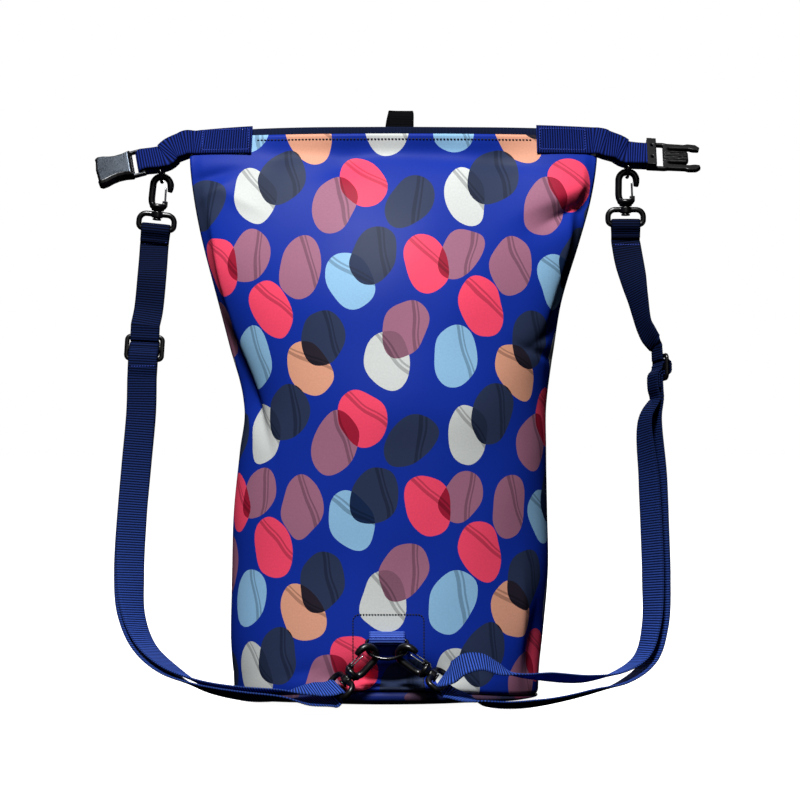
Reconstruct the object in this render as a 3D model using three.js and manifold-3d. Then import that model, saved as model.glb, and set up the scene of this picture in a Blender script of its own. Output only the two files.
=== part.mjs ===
// Dry bag backpack, unrolled and standing on its base. Millimetres, +Z up, front towards -Y.
// The origin is the middle of the underside of the base.
import * as THREE from "three";
import { mergeVertices } from "three/addons/utils/BufferGeometryUtils.js";
import Module from "manifold-3d";

const wasm = await Module();
wasm.setup();

// Sizes of the bag
const GIRTH = 687;
const WALL = 1.2;
const MOUTH_Z = 472;
const BASE_Z = 20;
const SEAM_SIDE = 4;
const SEAM_FRONT = 16;
const FLAT_ACROSS = 100;
const FLAT_DEEP = 47;
const SEAM_WELD = 12;
const WELD_FROM_Z = 380;
const COLUMNS = 40;
const GAP = 0.4;

// Sizes of the webbing
const WEB_WIDTH = 24.4;
const WEB_THICK = 1.5;
const FOOT_LOOP_WIDTH = 28.8;
const BAND_WIDTH = 25;
const BAND_THICK = 1.2;

// Sizes of the hardware
const RING_HALF = 16.5;
const RING_SIDE = 7;
const RING_ROUND = 13;
const RING_ROD = 1.6;
const EYE_HALF = 14.9;
const EYE_TOP = -2.4;
const EYE_BOTTOM = -15;
const EYE_ROD = 2.4;
const HOOK_OPEN_TOP = 27.2;
const HOOK_ROD = 2.6;
const HOOK_SEAT = 25;
const HOOK_OFF = 1.2;
const GATE_WIRE = 0.6;
const GATE_HALF = 2.5;
const GLIDE_HALF = 16.8;
const GLIDE_LENGTH = 23;
const GLIDE_THICK = 3.4;
const BUCKLE_BAR = 2;

const v = (x, y, z) => new THREE.Vector3(x, y, z);
const named = (...columns) => (row) => Object.fromEntries(columns.map((c, i) => [c, row[i]]));

// Bag sections: reach to the left and right, roundness of the ends (0.5 is an oval, 1 a lens),
// share of the girth drawn tight, and how far the left and right edges lean back
const SECTIONS = [
  [12, 130, 124, 0.5, 0.995, 0, 0],
  [31, 132, 125.5, 0.5, 0.995, 0, 0],
  [56, 133.5, 128.5, 0.5, 0.995, 0, 0],
  [107, 132.7, 132.7, 0.5, 0.99, 0, 0],
  [157, 131, 132, 0.5, 0.985, 0, 0],
  [207, 126, 131, 0.51, 0.97, 0, 0],
  [245, 122, 131, 0.53, 0.96, 0, 0],
  [296, 135, 138, 0.56, 0.975, 0, 0],
  [334, 145, 144.5, 0.62, 0.985, 0, 0],
  [384, 158, 159.6, 0.75, 0.995, 0, 0],
  [418, 164.6, 168.8, 0.87, 0.998, 0, 0],
  [450, 168.3, 173.8, 1, 1, 2, 1],
  [472, 168.5, 174, 1, 1, 15, 8],
].map(named("z", "left", "right", "round", "tight", "leanLeft", "leanRight"));

// Heights of the rows of the bag wall
const ROWS = [30, 56, 100, 142, 178, 208, 232, 256, 282, 310, 340, 370, 400, 428, 453, 472];

// Dents and creases: side (-1 front, 1 back, 0 both), middle, turn from level, half length, half width, depth
const FOLDS = [
  [-1, -152, 432, 8, 34, 9, 4],
  [-1, 150, 408, 28, 30, 11, 7],
  [0, -124, 245, 88, 34, 16, 5],
  [0, 134, 290, 80, 32, 12, 4],
  [-1, 118, 42, 80, 34, 9, 4],
  [-1, -38, 446, 12, 26, 10, 2.5],
  [-1, 70, 452, -6, 42, 8, 2.5],
  [1, -90, 300, 50, 55, 20, 5],
  [1, 85, 250, -48, 55, 20, 5],
].map(named("side", "x", "z", "turn", "long", "wide", "deep"));

// One column of the section table, drawn smoothly through its rows
function column(name, z) {
  const rows = SECTIONS;
  let i = 0;
  while (i < rows.length - 2 && z > rows[i + 1].z) i += 1;
  const a = rows[i];
  const b = rows[i + 1];
  const before = rows[Math.max(i - 1, 0)];
  const after = rows[Math.min(i + 2, rows.length - 1)];
  const span = b.z - a.z;
  const t = Math.min(Math.max((z - a.z) / span, 0), 1);
  const slopeA = i === 0 ? (b[name] - a[name]) / span : (b[name] - before[name]) / (b.z - before.z);
  const atEnd = i === rows.length - 2;
  const slopeB = atEnd ? (b[name] - a[name]) / span : (after[name] - a[name]) / (after.z - a.z);
  const t2 = t * t;
  const t3 = t2 * t;
  return (2 * t3 - 3 * t2 + 1) * a[name] + (t3 - 2 * t2 + t) * slopeA * span
    + (-2 * t3 + 3 * t2) * b[name] + (t3 - t2) * slopeB * span;
}

// Length round a section of half width a and half depth b
function girth(a, b, round) {
  let length = 0;
  let last = null;
  for (let i = 0; i <= 60; i += 1) {
    const x = -Math.cos((Math.PI * i) / 60);
    const point = [a * x, b * Math.pow(Math.max(1 - x * x, 0), round)];
    if (last) length += Math.hypot(point[0] - last[0], point[1] - last[1]);
    last = point;
  }
  return 2 * length;
}

// Half depth that takes up the girth of the cloth, since the cloth doesn't stretch
function halfDepth(a, round, tight) {
  let low = 2;
  let high = 140;
  for (let i = 0; i < 40; i += 1) {
    const middle = (low + high) / 2;
    if (girth(a, middle, round) < GIRTH * tight) low = middle;
    else high = middle;
  }
  return Math.max(low, 9);
}

// Section of the bag at a height: middle, half width, half depth, roundness and lean
function section(z) {
  const left = column("left", z);
  const right = column("right", z);
  const round = column("round", z);
  const a = (left + right) / 2;
  return {
    middle: (right - left) / 2,
    a,
    b: halfDepth(a, round, column("tight", z)),
    round,
    leanLeft: column("leanLeft", z),
    leanRight: column("leanRight", z),
  };
}

// How far the dents press the wall in at a place
function pressed(x, z, side) {
  let depth = 0;
  for (const fold of FOLDS) {
    if (fold.side !== 0 && fold.side !== side) continue;
    const turn = THREE.MathUtils.degToRad(fold.turn);
    const dx = x - fold.x;
    const dz = z - fold.z;
    const along = dx * Math.cos(turn) + dz * Math.sin(turn);
    const across = dz * Math.cos(turn) - dx * Math.sin(turn);
    depth += fold.deep * Math.exp(-((along / fold.long) ** 2) - (across / fold.wide) ** 2);
  }
  return depth;
}

// Backward lean of the mouth, more towards its ends
function lean(s, x) {
  const side = (x - s.middle) / s.a;
  const amount = side < 0 ? s.leanLeft : s.leanRight;
  return amount * side * side;
}

// Inset of the inner wall at the side seams, which are welded flat towards the mouth
function weldedEnds(z) {
  return WALL + (SEAM_WELD - WALL) * THREE.MathUtils.smoothstep(z, WELD_FROM_Z, MOUTH_Z);
}

// Front or back of the wall at x and z, moved in by an inset
function wallY(x, z, side, inset = 0) {
  const s = section(z);
  const weld = inset > 0 ? weldedEnds(z) : 0;
  const t = Math.min(Math.abs(x - s.middle) / (s.a - weld), 1);
  const y = (s.b - inset) * Math.pow(1 - t * t, s.round);
  return lean(s, x) + side * Math.max(y - pressed(x, z, side) * Math.min(1, y / 20), 0.2);
}

// Evenly spaced points round the bag, from the left seam along the front. The height may be a function
// of the share across.
function ringPoints(z, height, inset, ends) {
  const s = section(z);
  const points = [];
  for (const side of [-1, 1]) {
    const fine = [];
    for (let i = 0; i <= 120; i += 1) {
      const turn = (Math.PI * i) / 120;
      const t = side < 0 ? -Math.cos(turn) : Math.cos(turn);
      const x = s.middle + (s.a - ends) * t;
      const open = (s.b - inset) * Math.pow(Math.max(1 - t * t, 0), s.round);
      const y = open - pressed(x, z, side) * Math.min(1, open / 20);
      const z1 = typeof height === "function" ? height(t) : height;
      fine.push(v(x, lean(s, x) + side * Math.max(y, 0), z1));
    }
    const lengths = [0];
    for (let i = 1; i < fine.length; i += 1) lengths.push(lengths[i - 1] + fine[i].distanceTo(fine[i - 1]));
    const total = lengths[lengths.length - 1];
    for (let k = 0; k < COLUMNS / 2; k += 1) {
      const want = (total * k) / (COLUMNS / 2);
      let i = 1;
      while (i < lengths.length - 1 && lengths[i] < want) i += 1;
      const share = (want - lengths[i - 1]) / (lengths[i] - lengths[i - 1]);
      points.push(fine[i - 1].clone().lerp(fine[i], share));
    }
  }
  return points;
}

// Closed surface through rings of points; a loop of rings joins its last ring to its first
function loft(rings, loop = false) {
  const n = rings[0].length;
  const positions = rings.flat().flatMap((p) => [p.x, p.y, p.z]);
  const index = [];
  const count = loop ? rings.length : rings.length - 1;
  for (let i = 0; i < count; i += 1) {
    const a = i * n;
    const b = ((i + 1) % rings.length) * n;
    for (let k = 0; k < n; k += 1) {
      const l = (k + 1) % n;
      // Both faces of a strip are split along the same diagonal, so a twist keeps its thickness
      if (k < n / 2) index.push(a + k, a + l, b + l, a + k, b + l, b + k);
      else index.push(a + k, a + l, b + k, a + l, b + l, b + k);
    }
  }
  if (!loop) {
    const last = (rings.length - 1) * n;
    for (let k = 1; k < n - 1; k += 1) {
      index.push(0, k + 1, k);
      index.push(last, last + k, last + k + 1);
    }
  }
  return outward(positions, index);
}

// Geometry whose faces point out
function outward(positions, index) {
  let volume = 0;
  const at = (i) => v(positions[3 * i], positions[3 * i + 1], positions[3 * i + 2]);
  for (let i = 0; i < index.length; i += 3) {
    volume += at(index[i]).dot(at(index[i + 1]).cross(at(index[i + 2])));
  }
  const order = volume < 0 ? index.map((_, i) => index[i - (i % 3) + [0, 2, 1][i % 3]]) : index;
  const geometry = new THREE.BufferGeometry();
  geometry.setAttribute("position", new THREE.Float32BufferAttribute(positions, 3));
  geometry.setIndex(order);
  return geometry;
}

// Solids that can be cut and joined
function solid(geometry) {
  const plain = geometry.clone();
  plain.deleteAttribute("normal");
  plain.deleteAttribute("uv");
  const merged = mergeVertices(plain, 1e-4);
  return new wasm.Manifold(new wasm.Mesh({
    numProp: 3,
    vertProperties: new Float32Array(merged.attributes.position.array),
    triVerts: new Uint32Array(merged.index.array),
  }));
}

function geometryOf(body) {
  const mesh = body.getMesh();
  const geometry = new THREE.BufferGeometry();
  geometry.setAttribute("position", new THREE.BufferAttribute(new Float32Array(mesh.vertProperties), 3));
  geometry.setIndex(new THREE.BufferAttribute(new Uint32Array(mesh.triVerts), 1));
  return geometry;
}

const joined = (...parts) => parts.map(solid).reduce((a, b) => a.add(b));
const without = (body, ...tools) => tools.map(solid).reduce((a, b) => a.subtract(b), body);

function box(x, y, z, cx, cy, cz) {
  return new THREE.BoxGeometry(x, y, z).translate(cx, cy, cz);
}

// Round rod along points, with a flattening across the plane if wanted
function rod(points, radius, sides, loop, across, flat = 1) {
  const rings = points.map((p, i) => {
    const before = loop ? points[(i + points.length - 1) % points.length] : points[Math.max(i - 1, 0)];
    const after = loop ? points[(i + 1) % points.length] : points[Math.min(i + 1, points.length - 1)];
    const along = after.clone().sub(before).normalize();
    const side = along.clone().cross(across).normalize();
    const r = typeof radius === "function" ? radius(i / (points.length - 1)) : radius;
    return Array.from({ length: sides }, (_, k) => {
      const turn = (2 * Math.PI * (k + 0.5)) / sides;
      return p.clone().addScaledVector(side, r * Math.cos(turn))
        .addScaledVector(across, r * flat * Math.sin(turn));
    });
  });
  return loft(rings, loop);
}

// Corner arc in the xz plane
function arc(cx, cz, rx, rz, from, to, steps) {
  return Array.from({ length: steps + 1 }, (_, i) => {
    const turn = THREE.MathUtils.degToRad(from + ((to - from) * i) / steps);
    return v(cx + rx * Math.cos(turn), 0, cz + rz * Math.sin(turn));
  });
}

// Strip of webbing through stations, each a place and a width direction
function ribbon(stations, width = WEB_WIDTH, thick = WEB_THICK) {
  const rings = stations.map(({ p, w }, i) => {
    const before = stations[Math.max(i - 1, 0)].p;
    const after = stations[Math.min(i + 1, stations.length - 1)].p;
    const along = after.clone().sub(before).normalize();
    const side = w.clone().addScaledVector(along, -w.dot(along)).normalize();
    const up = along.clone().cross(side).normalize();
    return [[-1, -1], [1, -1], [1, 1], [-1, 1]].map(([i1, i2]) => p.clone()
      .addScaledVector(side, (i1 * width) / 2).addScaledVector(up, (i2 * thick) / 2));
  });
  return loft(rings);
}

// Stations of a strap that lies in the plane of a frame: s along it, n out of its face
function lace(frame, rows) {
  return rows.map(([s, n]) => ({
    p: frame.o.clone().addScaledVector(frame.t, s).addScaledVector(frame.n, n),
    w: frame.w.clone(),
  }));
}

// Frame with the strap running along t and facing n
function laceFrame(o, t, n) {
  const along = t.clone().normalize();
  const face = n.clone().addScaledVector(along, -n.dot(along)).normalize();
  return { o, t: along, n: face, w: along.clone().cross(face) };
}

// Half turn of webbing round a bar, past the end of the frame, or a smaller share of a whole turn
function halfTurn(frame, radius, steps = 6, share = 0.5) {
  return lace(frame, Array.from({ length: steps + 1 }, (_, i) => {
    const turn = Math.PI * (-0.5 + (2 * share * i) / steps);
    return [radius * Math.cos(turn), radius * Math.sin(turn)];
  }));
}

// Smooth run through a table of places and facings
function freeRun(rows, steps) {
  const place = new THREE.CatmullRomCurve3(rows.map((r) => v(r.x, r.y, r.z)), false, "centripetal");
  const face = new THREE.CatmullRomCurve3(rows.map((r) => v(r.fx, r.fy, r.fz)), false, "catmullrom", 0.5);
  const apart = new THREE.CatmullRomCurve3(rows.map((r) => v(r.gap, 0, 0)), false, "catmullrom", 0.5);
  return Array.from({ length: steps + 1 }, (_, i) => {
    const t = i / steps;
    const along = place.getTangent(t);
    const n = face.getPoint(t);
    n.addScaledVector(along, -n.dot(along)).normalize();
    return { p: place.getPoint(t), n, w: along.clone().cross(n).normalize(), gap: apart.getPoint(t).x };
  });
}

// Row of such a table from a place and a facing
const runRow = (p, n, gap) => ({ x: p.x, y: p.y, z: p.z, fx: n.x, fy: n.y, fz: n.z, gap });

// Row of such a table moved a share of its gap to one side
const besideRow = (r, share) => {
  const n = v(r.fx, r.fy, r.fz).normalize();
  return runRow(v(r.x, r.y, r.z).addScaledVector(n, r.gap * share), n, 0);
};

// One layer of a doubled run, a share of the gap to one side of its middle
const shifted = (run, share) => run.map(({ p, n, w, gap }) => {
  const moved = p.clone().addScaledVector(n, gap * share);
  return { p: moved, w };
});

// Materials
const paint = (name, color, roughness, metalness = 0) => {
  const material = new THREE.MeshStandardMaterial({ color, roughness, metalness });
  material.name = name;
  return material;
};
const FABRIC = paint("bag_fabric", 0x2a5cb0, 0.5);
const BAND = paint("band_navy", 0x1c2c55, 0.7);
const WEBBING = paint("webbing_blue", 0x1f3f96, 0.8);
const BLACK_WEBBING = paint("webbing_black", 0x0c0c0e, 0.85);
const PLASTIC = paint("black_plastic", 0x0d0d0f, 0.4);
const STEEL = paint("steel_wire", 0xc8ccd2, 0.25, 1);

const part = new THREE.Group();
function add(name, geometry, material, parent = part) {
  const mesh = new THREE.Mesh(geometry, material);
  mesh.name = name;
  parent.add(mesh);
  return mesh;
}

// Height of the seam round the base: near the ground at the sides, lifted at the front and back
const seam = (t) => SEAM_SIDE + (SEAM_FRONT - SEAM_SIDE) * (1 - t * t);

// Rows of the bag wall from the base seam to the mouth, outside and inside
const foot = [{ inset: 2.4, up: 0 }, { inset: 0.3, up: 4 }];
const footRow = (inset, up) => ringPoints(BASE_Z, (t) => seam(t) + up, inset, inset);
const footRows = (wall) => foot.map(({ inset, up }) => footRow(inset + wall, up));
const outerRows = [...footRows(0), ...ROWS.map((z) => ringPoints(z, z, 0, 0))];
const innerRows = [...footRows(WALL), ...ROWS.map((z) => ringPoints(z, z, WALL, weldedEnds(z)))];

// Half of a row, the front or the back, drawn back a little from the other half at the side seams
function halfRow(row, side) {
  const half = COLUMNS / 2;
  const points = side < 0 ? row.slice(0, half + 1) : [...row.slice(half), row[0]];
  const last = points.length - 1;
  return points.map((p, k) => (k === 0 || k === last ? p.clone().add(v(0, (side * GAP) / 2, 0)) : p));
}

// Panel of cloth: an outer and an inner grid of points, closed along its four edges
function panel(outer, inner) {
  const rows = outer.length;
  const n = outer[0].length;
  const out = (i, k) => i * n + k;
  const back = (i, k) => (rows + i) * n + k;
  const quads = [];
  for (let i = 0; i < rows - 1; i += 1) {
    for (let k = 0; k < n - 1; k += 1) {
      quads.push([out(i, k), out(i, k + 1), out(i + 1, k + 1), out(i + 1, k)]);
      quads.push([back(i, k), back(i + 1, k), back(i + 1, k + 1), back(i, k + 1)]);
    }
    quads.push([out(i, 0), out(i + 1, 0), back(i + 1, 0), back(i, 0)]);
    quads.push([out(i, n - 1), back(i, n - 1), back(i + 1, n - 1), out(i + 1, n - 1)]);
  }
  const top = rows - 1;
  for (let k = 0; k < n - 1; k += 1) {
    quads.push([out(0, k), back(0, k), back(0, k + 1), out(0, k + 1)]);
    quads.push([out(top, k), out(top, k + 1), back(top, k + 1), back(top, k)]);
  }
  const positions = [...outer, ...inner].flat().flatMap((p) => [p.x, p.y, p.z]);
  return outward(positions, quads.flatMap(([a, b, c, d]) => [a, b, c, a, c, d]));
}

for (const [name, side] of [["front_panel", -1], ["back_panel", 1]]) {
  const half = (rows) => rows.map((row) => halfRow(row, side));
  add(name, panel(half(outerRows), half(innerRows)), FABRIC);
}

// Base panel: a dish from a roll under the seam down to a flat oval on the ground. Each row has its inset,
// its share of the seam's height, and the share of the cloth's thickness inwards and upwards.
const base = section(BASE_Z);
const DISH = [
  [base.b - FLAT_DEEP, base.a - FLAT_ACROSS, 0, 0, 1],
  [13, 13, 0.36, 0.3, 0.95],
  [0.6, 0.6, 0.7, 1, 0.35],
  [3.2, 3.2, 1, 0.9, 0],
].map(named("inset", "ends", "rise", "thickIn", "thickUp"));
const dishRow = (row, thick) => {
  const height = (t) => row.rise * (seam(t) - GAP) + row.thickUp * thick;
  return ringPoints(BASE_Z, height, row.inset + row.thickIn * thick, row.ends + row.thickIn * thick);
};
const under = DISH.map((row) => dishRow(row, 0));
const over = DISH.map((row) => dishRow(row, WALL)).reverse();
add("base_panel", loft([...under, ...over]), FABRIC);

// Navy band inside the front of the mouth
const BAND_LEFT = -132;
const BAND_RIGHT = 136;
const BAND_Z = 465.5;
const bandRun = Array.from({ length: 23 }, (_, i) => {
  const x = BAND_LEFT + ((BAND_RIGHT - BAND_LEFT) * i) / 22;
  const low = v(x, wallY(x, 455, -1, WALL) + GAP + BAND_THICK / 2, 455);
  const high = v(x, wallY(x, MOUTH_Z, -1, WALL) + GAP + BAND_THICK / 2, MOUTH_Z);
  const w = high.clone().sub(low).normalize();
  return { p: low.clone().addScaledVector(w, BAND_Z - 455), w };
});
add("mouth_band", ribbon(bandRun, BAND_WIDTH, BAND_THICK), BAND);

// D-ring in its own plane: bar along x at the top, round side down
function dRing() {
  const points = [
    v(0, 0, 0),
    v(RING_HALF - 2, 0, 0),
    v(RING_HALF - 0.4, 0, -0.6),
    v(RING_HALF, 0, -2.4),
    ...arc(0, -RING_SIDE, RING_HALF, RING_ROUND, 0, -180, 10),
    v(-RING_HALF, 0, -2.4),
    v(-RING_HALF + 0.4, 0, -0.6),
    v(-RING_HALF + 2, 0, 0),
  ];
  return rod(points, RING_ROD, 6, true, v(0, 1, 0));
}

// Place on the round side of a ring, at a turn from its lowest point, and the run of the rod there
function onRing(ring, degrees) {
  const turn = THREE.MathUtils.degToRad(degrees);
  const p = ring.o.clone().addScaledVector(ring.bar, RING_HALF * Math.sin(turn))
    .addScaledVector(ring.down, RING_SIDE + RING_ROUND * Math.cos(turn));
  const run = ring.bar.clone().multiplyScalar(RING_HALF * Math.cos(turn))
    .addScaledVector(ring.down, -RING_ROUND * Math.sin(turn)).normalize();
  return { p, run };
}

// Group whose axes are three given directions
function placed(o, x, y, z, parent = part) {
  const group = new THREE.Group();
  group.position.copy(o);
  group.quaternion.setFromRotationMatrix(new THREE.Matrix4().makeBasis(x, y, z));
  parent.add(group);
  return group;
}

function addRing(name, ring) {
  const up = ring.down.clone().negate();
  add(name, dRing(), PLASTIC, placed(ring.o, ring.bar, up.clone().cross(ring.bar), up));
}

// Swivel hook, its stem through the eye, its nose towards the gate
function hookBody() {
  const centre = HOOK_OPEN_TOP - 4.8;
  const across = v(0, 1, 0);
  const bend = 4.8 + HOOK_ROD;
  const path = [v(-3.4, 0, 4.4), v(-5.4, 0, 6.6), v(-6, 0, 10), v(-5.9, 0, 16),
    ...arc(1.5, centre, bend, bend, 180, 0, 7), v(8.9, 0, centre - 3.2), v(8.5, 0, centre - 5.4)];
  const thin = (t) => HOOK_ROD - 0.9 * (Math.max(t - 0.85, 0) / 0.15) ** 2;
  const arm = rod(path, thin, 8, false, across, 1.2);
  const collar = new THREE.LatheGeometry([
    [0, -7.6], [3.8, -7.6], [3.8, -6], [2.6, -5.9], [2.6, 0.4], [5.3, 0.4], [5.3, 2], [6.6, 2.6], [7.2, 4.4],
    [6.2, 6.4], [0, 6.4],
  ].map(([r, z]) => new THREE.Vector2(r, z)), 9).rotateX(Math.PI / 2);
  const ear = box(4.4, 3, 5, 5.6, 0, 6.8);
  const bore = new THREE.CylinderGeometry(GATE_WIRE + 0.4, GATE_WIRE + 0.4, 12, 8).translate(5.6, 0, 7.6);
  return geometryOf(without(joined(arm, collar, ear), bore));
}

// Eye of the swivel hook, with the bored boss for the stem
function hookEye() {
  const path = [
    ...arc(EYE_HALF - 4, EYE_BOTTOM + 4, 4, 4, -90, 0, 3),
    ...arc(EYE_HALF - 6, EYE_TOP - 6, 6, 6, 0, 90, 3),
    v(0, 0, EYE_TOP),
    ...arc(-EYE_HALF + 6, EYE_TOP - 6, 6, 6, 90, 180, 3),
    ...arc(-EYE_HALF + 4, EYE_BOTTOM + 4, 4, 4, 180, 270, 3),
  ];
  const frame = rod(path, EYE_ROD, 6, true, v(0, 1, 0));
  const boss = new THREE.CylinderGeometry(4.6, 4.6, 5.5, 10).rotateX(Math.PI / 2).translate(0, 0, -2.75);
  const bore = new THREE.CylinderGeometry(3.1, 3.1, 20, 10).rotateX(Math.PI / 2);
  return geometryOf(without(joined(frame, boss), bore));
}

// Wire gate: a closed loop through the ear, its top inside the nose
const GATE_PIVOT = v(5.6, 0, 7.6);
function gateWire() {
  const top = 12.6;
  const tip = -0.5;
  const points = [];
  for (const side of [1, -1]) {
    const leg = [[0.25, 0], [0.85, 0.2], [1, 1], [1, top - 1], [0.85, top - 0.2], [0.25, top]];
    const run = side > 0 ? leg : leg.slice().reverse();
    for (const [y, z] of run) points.push(v((tip * z) / top, side * y * GATE_HALF, z));
  }
  return rod(points, GATE_WIRE, 5, true, v(1, 0, 0)).translate(GATE_PIVOT.x, 0, GATE_PIVOT.z);
}

// Hook on a ring rod, hanging along an axis and turned about it, gate to one side, eye turned to the strap
function addHook(name, seat, axis, gateTowards, strapFace, about = 0) {
  const a = axis.clone().normalize();
  let y = seat.run.clone().addScaledVector(a, -seat.run.dot(a)).normalize();
  let x = y.clone().cross(a);
  if (x.dot(gateTowards) < 0) {
    y = y.negate();
    x = x.negate();
  }
  x.applyAxisAngle(a, THREE.MathUtils.degToRad(about));
  y.applyAxisAngle(a, THREE.MathUtils.degToRad(about));
  const o = seat.p.clone().addScaledVector(a, -HOOK_SEAT).addScaledVector(x, -HOOK_OFF);
  const group = placed(o, x, y, a);
  add(`hook_${name}`, hookBody(), PLASTIC, group);
  add(`gate_${name}`, gateWire(), STEEL, group);
  const n = strapFace.clone().addScaledVector(a, -strapFace.dot(a)).normalize();
  const bar = a.clone().cross(n);
  add(`eye_${name}`, hookEye(), PLASTIC, placed(o, bar, n.clone().negate(), a));
  const pivot = o.clone().addScaledVector(x, GATE_PIVOT.x).addScaledVector(a, GATE_PIVOT.z);
  return { bar: o.clone().addScaledVector(a, EYE_BOTTOM), a, n, pivot, hinge: y.clone().negate() };
}

// Strap adjuster: a frame with a middle bar
const GLIDE_BARS = { middle: 2.2, slot: 7.3 };
function glide() {
  const round = 3;
  const w = GLIDE_HALF;
  const h = GLIDE_LENGTH / 2;
  const outline = new THREE.Shape();
  outline.moveTo(-w + round, -h);
  outline.lineTo(w - round, -h);
  outline.quadraticCurveTo(w, -h, w, -h + round);
  outline.lineTo(w, h - round);
  outline.quadraticCurveTo(w, h, w - round, h);
  outline.lineTo(-w + round, h);
  outline.quadraticCurveTo(-w, h, -w, h - round);
  outline.lineTo(-w, -h + round);
  outline.quadraticCurveTo(-w, -h, -w + round, -h);
  for (const side of [-1, 1]) {
    const slot = new THREE.Path();
    const near = side * GLIDE_BARS.middle;
    const far = side * GLIDE_BARS.slot;
    const half = WEB_WIDTH / 2 + 0.5;
    slot.moveTo(-half, near);
    slot.lineTo(half, near);
    slot.lineTo(half, far);
    slot.lineTo(-half, far);
    outline.holes.push(slot);
  }
  return new THREE.ExtrudeGeometry(outline, { depth: GLIDE_THICK, bevelEnabled: false, curveSegments: 3 })
    .translate(0, 0, -GLIDE_THICK / 2);
}

function addGlide(name, frame) {
  add(name, glide(), PLASTIC, placed(frame.o, frame.w, frame.t, frame.w.clone().cross(frame.t)));
}

// Webbing past the adjuster: the running part, and the sewn end round the middle bar
const mirrored = (rows) => rows.map(([s, n]) => [-s, n]).reverse();
const RUN_DIP = [[-8.4, 2.85], [-7, 2.75], [-6.1, 1.9], [-5.9, 0.4], [-5.8, -1.6], [-5.2, -3.6],
  [-3.4, -4.75]];
const GLIDE_RUNNING = [[-19, 3.6], [-15, 3.1], [-11.4, 2.9], ...RUN_DIP, [0, -4.9], ...mirrored(RUN_DIP),
  [12, 2.85], [18, 2.6]];
const SEWN_UNDER = [[-3.9, 0], [-3.5, -1.8], [-2.1, -2.9]];
const GLIDE_SEWN = [[24, 5.2], [18, 6.7], [10, 7.2], [7, 7.1], [4.2, 6.1], [2, 4], [0, 3.1], [-2.1, 2.9],
  [-3.5, 1.8], ...SEWN_UNDER, [0, -3], ...mirrored(SEWN_UNDER), [4, 2.1], [4.9, 4.1], [7, 5.2], [10, 5.3],
  [17, 4.8]];

// Shoulder strap: sewn end over the top eye, down through the adjuster, round the lower eye and back
const STRAP_REACH = 7.5;
function strap(top, glideFrame, lower, { single, double, under, over, wrap, singleSteps, doubleSteps }) {
  const turn = EYE_ROD + 0.8 + WEB_THICK / 2;
  const hang = laceFrame(top.bar, top.a.clone().negate(), top.n);
  const overTop = { o: top.bar, t: top.a, n: top.n, w: hang.w };
  const stations = [
    ...lace(hang, [[11, 1.3], [8, 1.5], [5, 2.6], [2, turn]]),
    ...halfTurn({ ...overTop, n: top.n.clone().negate() }, turn, 5),
    ...lace(hang, [[2, -turn], [5, -2.6], [9, -1], [14, -0.8]]),
  ];
  const start = stations[stations.length - 1].p;
  const glideIn = lace(glideFrame, GLIDE_RUNNING);
  const first = runRow(start, top.n, 0);
  const gn = glideFrame.n;
  const last = runRow(glideIn[0].p, gn, 0);
  stations.push(...freeRun([first, ...single, last], singleSteps).slice(1, -1), ...glideIn);
  const below = glideFrame.o.clone().addScaledVector(glideFrame.t, 26).addScaledVector(gn, 3.7);
  const head = runRow(below, gn, 2.6);
  const arrive = laceFrame(lower.bar, lower.a, lower.n);
  const end = lower.bar.clone().addScaledVector(lower.a, -STRAP_REACH).addScaledVector(lower.n, -3.4);
  const beside = (share) => [head, ...double].map((row) => besideRow(row, share));
  const side = (share, rows) => freeRun([...beside(share), ...rows], doubleSteps);
  stations.push(...side(-0.5, [...under, runRow(end, lower.n, 0)]));
  stations.push(...lace(arrive, [[-2, -turn]]), ...halfTurn(arrive, turn, 5, wrap));
  stations.push(...side(0.5, over).reverse());
  stations.push(...lace(glideFrame, GLIDE_SEWN));
  return ribbon(stations);
}

const STRAP_COLUMNS = named("x", "y", "z", "fx", "fy", "fz", "gap");
const LEFT_SINGLE = [
  [-199.5, -3, 355, 0, -1, 0, 0],
  [-202, -7, 325, 0, -1, 0, 0],
].map(STRAP_COLUMNS);
const LEFT_DOUBLE = [
  [-206.7, -20, 240, 0, -1, 0, 4],
  [-210, -26, 195, 0.05, -1, 0, 4.5],
  [-213, -34, 150, 0.15, -0.98, 0.05, 5],
  [-214, -43, 108, 0.35, -0.88, 0.25, 5],
  [-211, -54, 75, 0.58, -0.55, 0.55, 5],
  [-199.5, -68, 50.5, 0.55, -0.3, 0.78, 5],
  [-179, -84, 34, 0.4, -0.1, 0.9, 5],
  [-151, -99, 22.5, 0.2, 0.12, 0.96, 3.6],
  [-114, -111, 17, 0, 0.06, 0.99, 4],
  [-86, -114, 16.5, -0.05, 0.04, 1, 5.4],
].map(STRAP_COLUMNS);
const LEFT_UNDER = [
  [-66, -110, 11, -0.2, -0.2, 0.96, 0],
].map(STRAP_COLUMNS);
const LEFT_OVER = [
  [-68, -112.5, 20.2, -0.08, -0.15, 0.98, 0],
  [-57, -109.3, 20.4, -0.35, -0.42, 0.84, 0],
].map(STRAP_COLUMNS);
const RIGHT_SINGLE = [
  [201.5, 9, 368, -0.2, -0.97, 0, 0],
  [204.5, 1, 352, -0.5, -0.85, 0, 0],
  [207.5, -5, 336, -0.78, -0.63, 0, 0],
  [212.5, -11.5, 311, -0.93, -0.38, 0.05, 0],
  [216.8, -16, 302, -0.95, -0.32, 0.05, 0],
].map(STRAP_COLUMNS);
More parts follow.
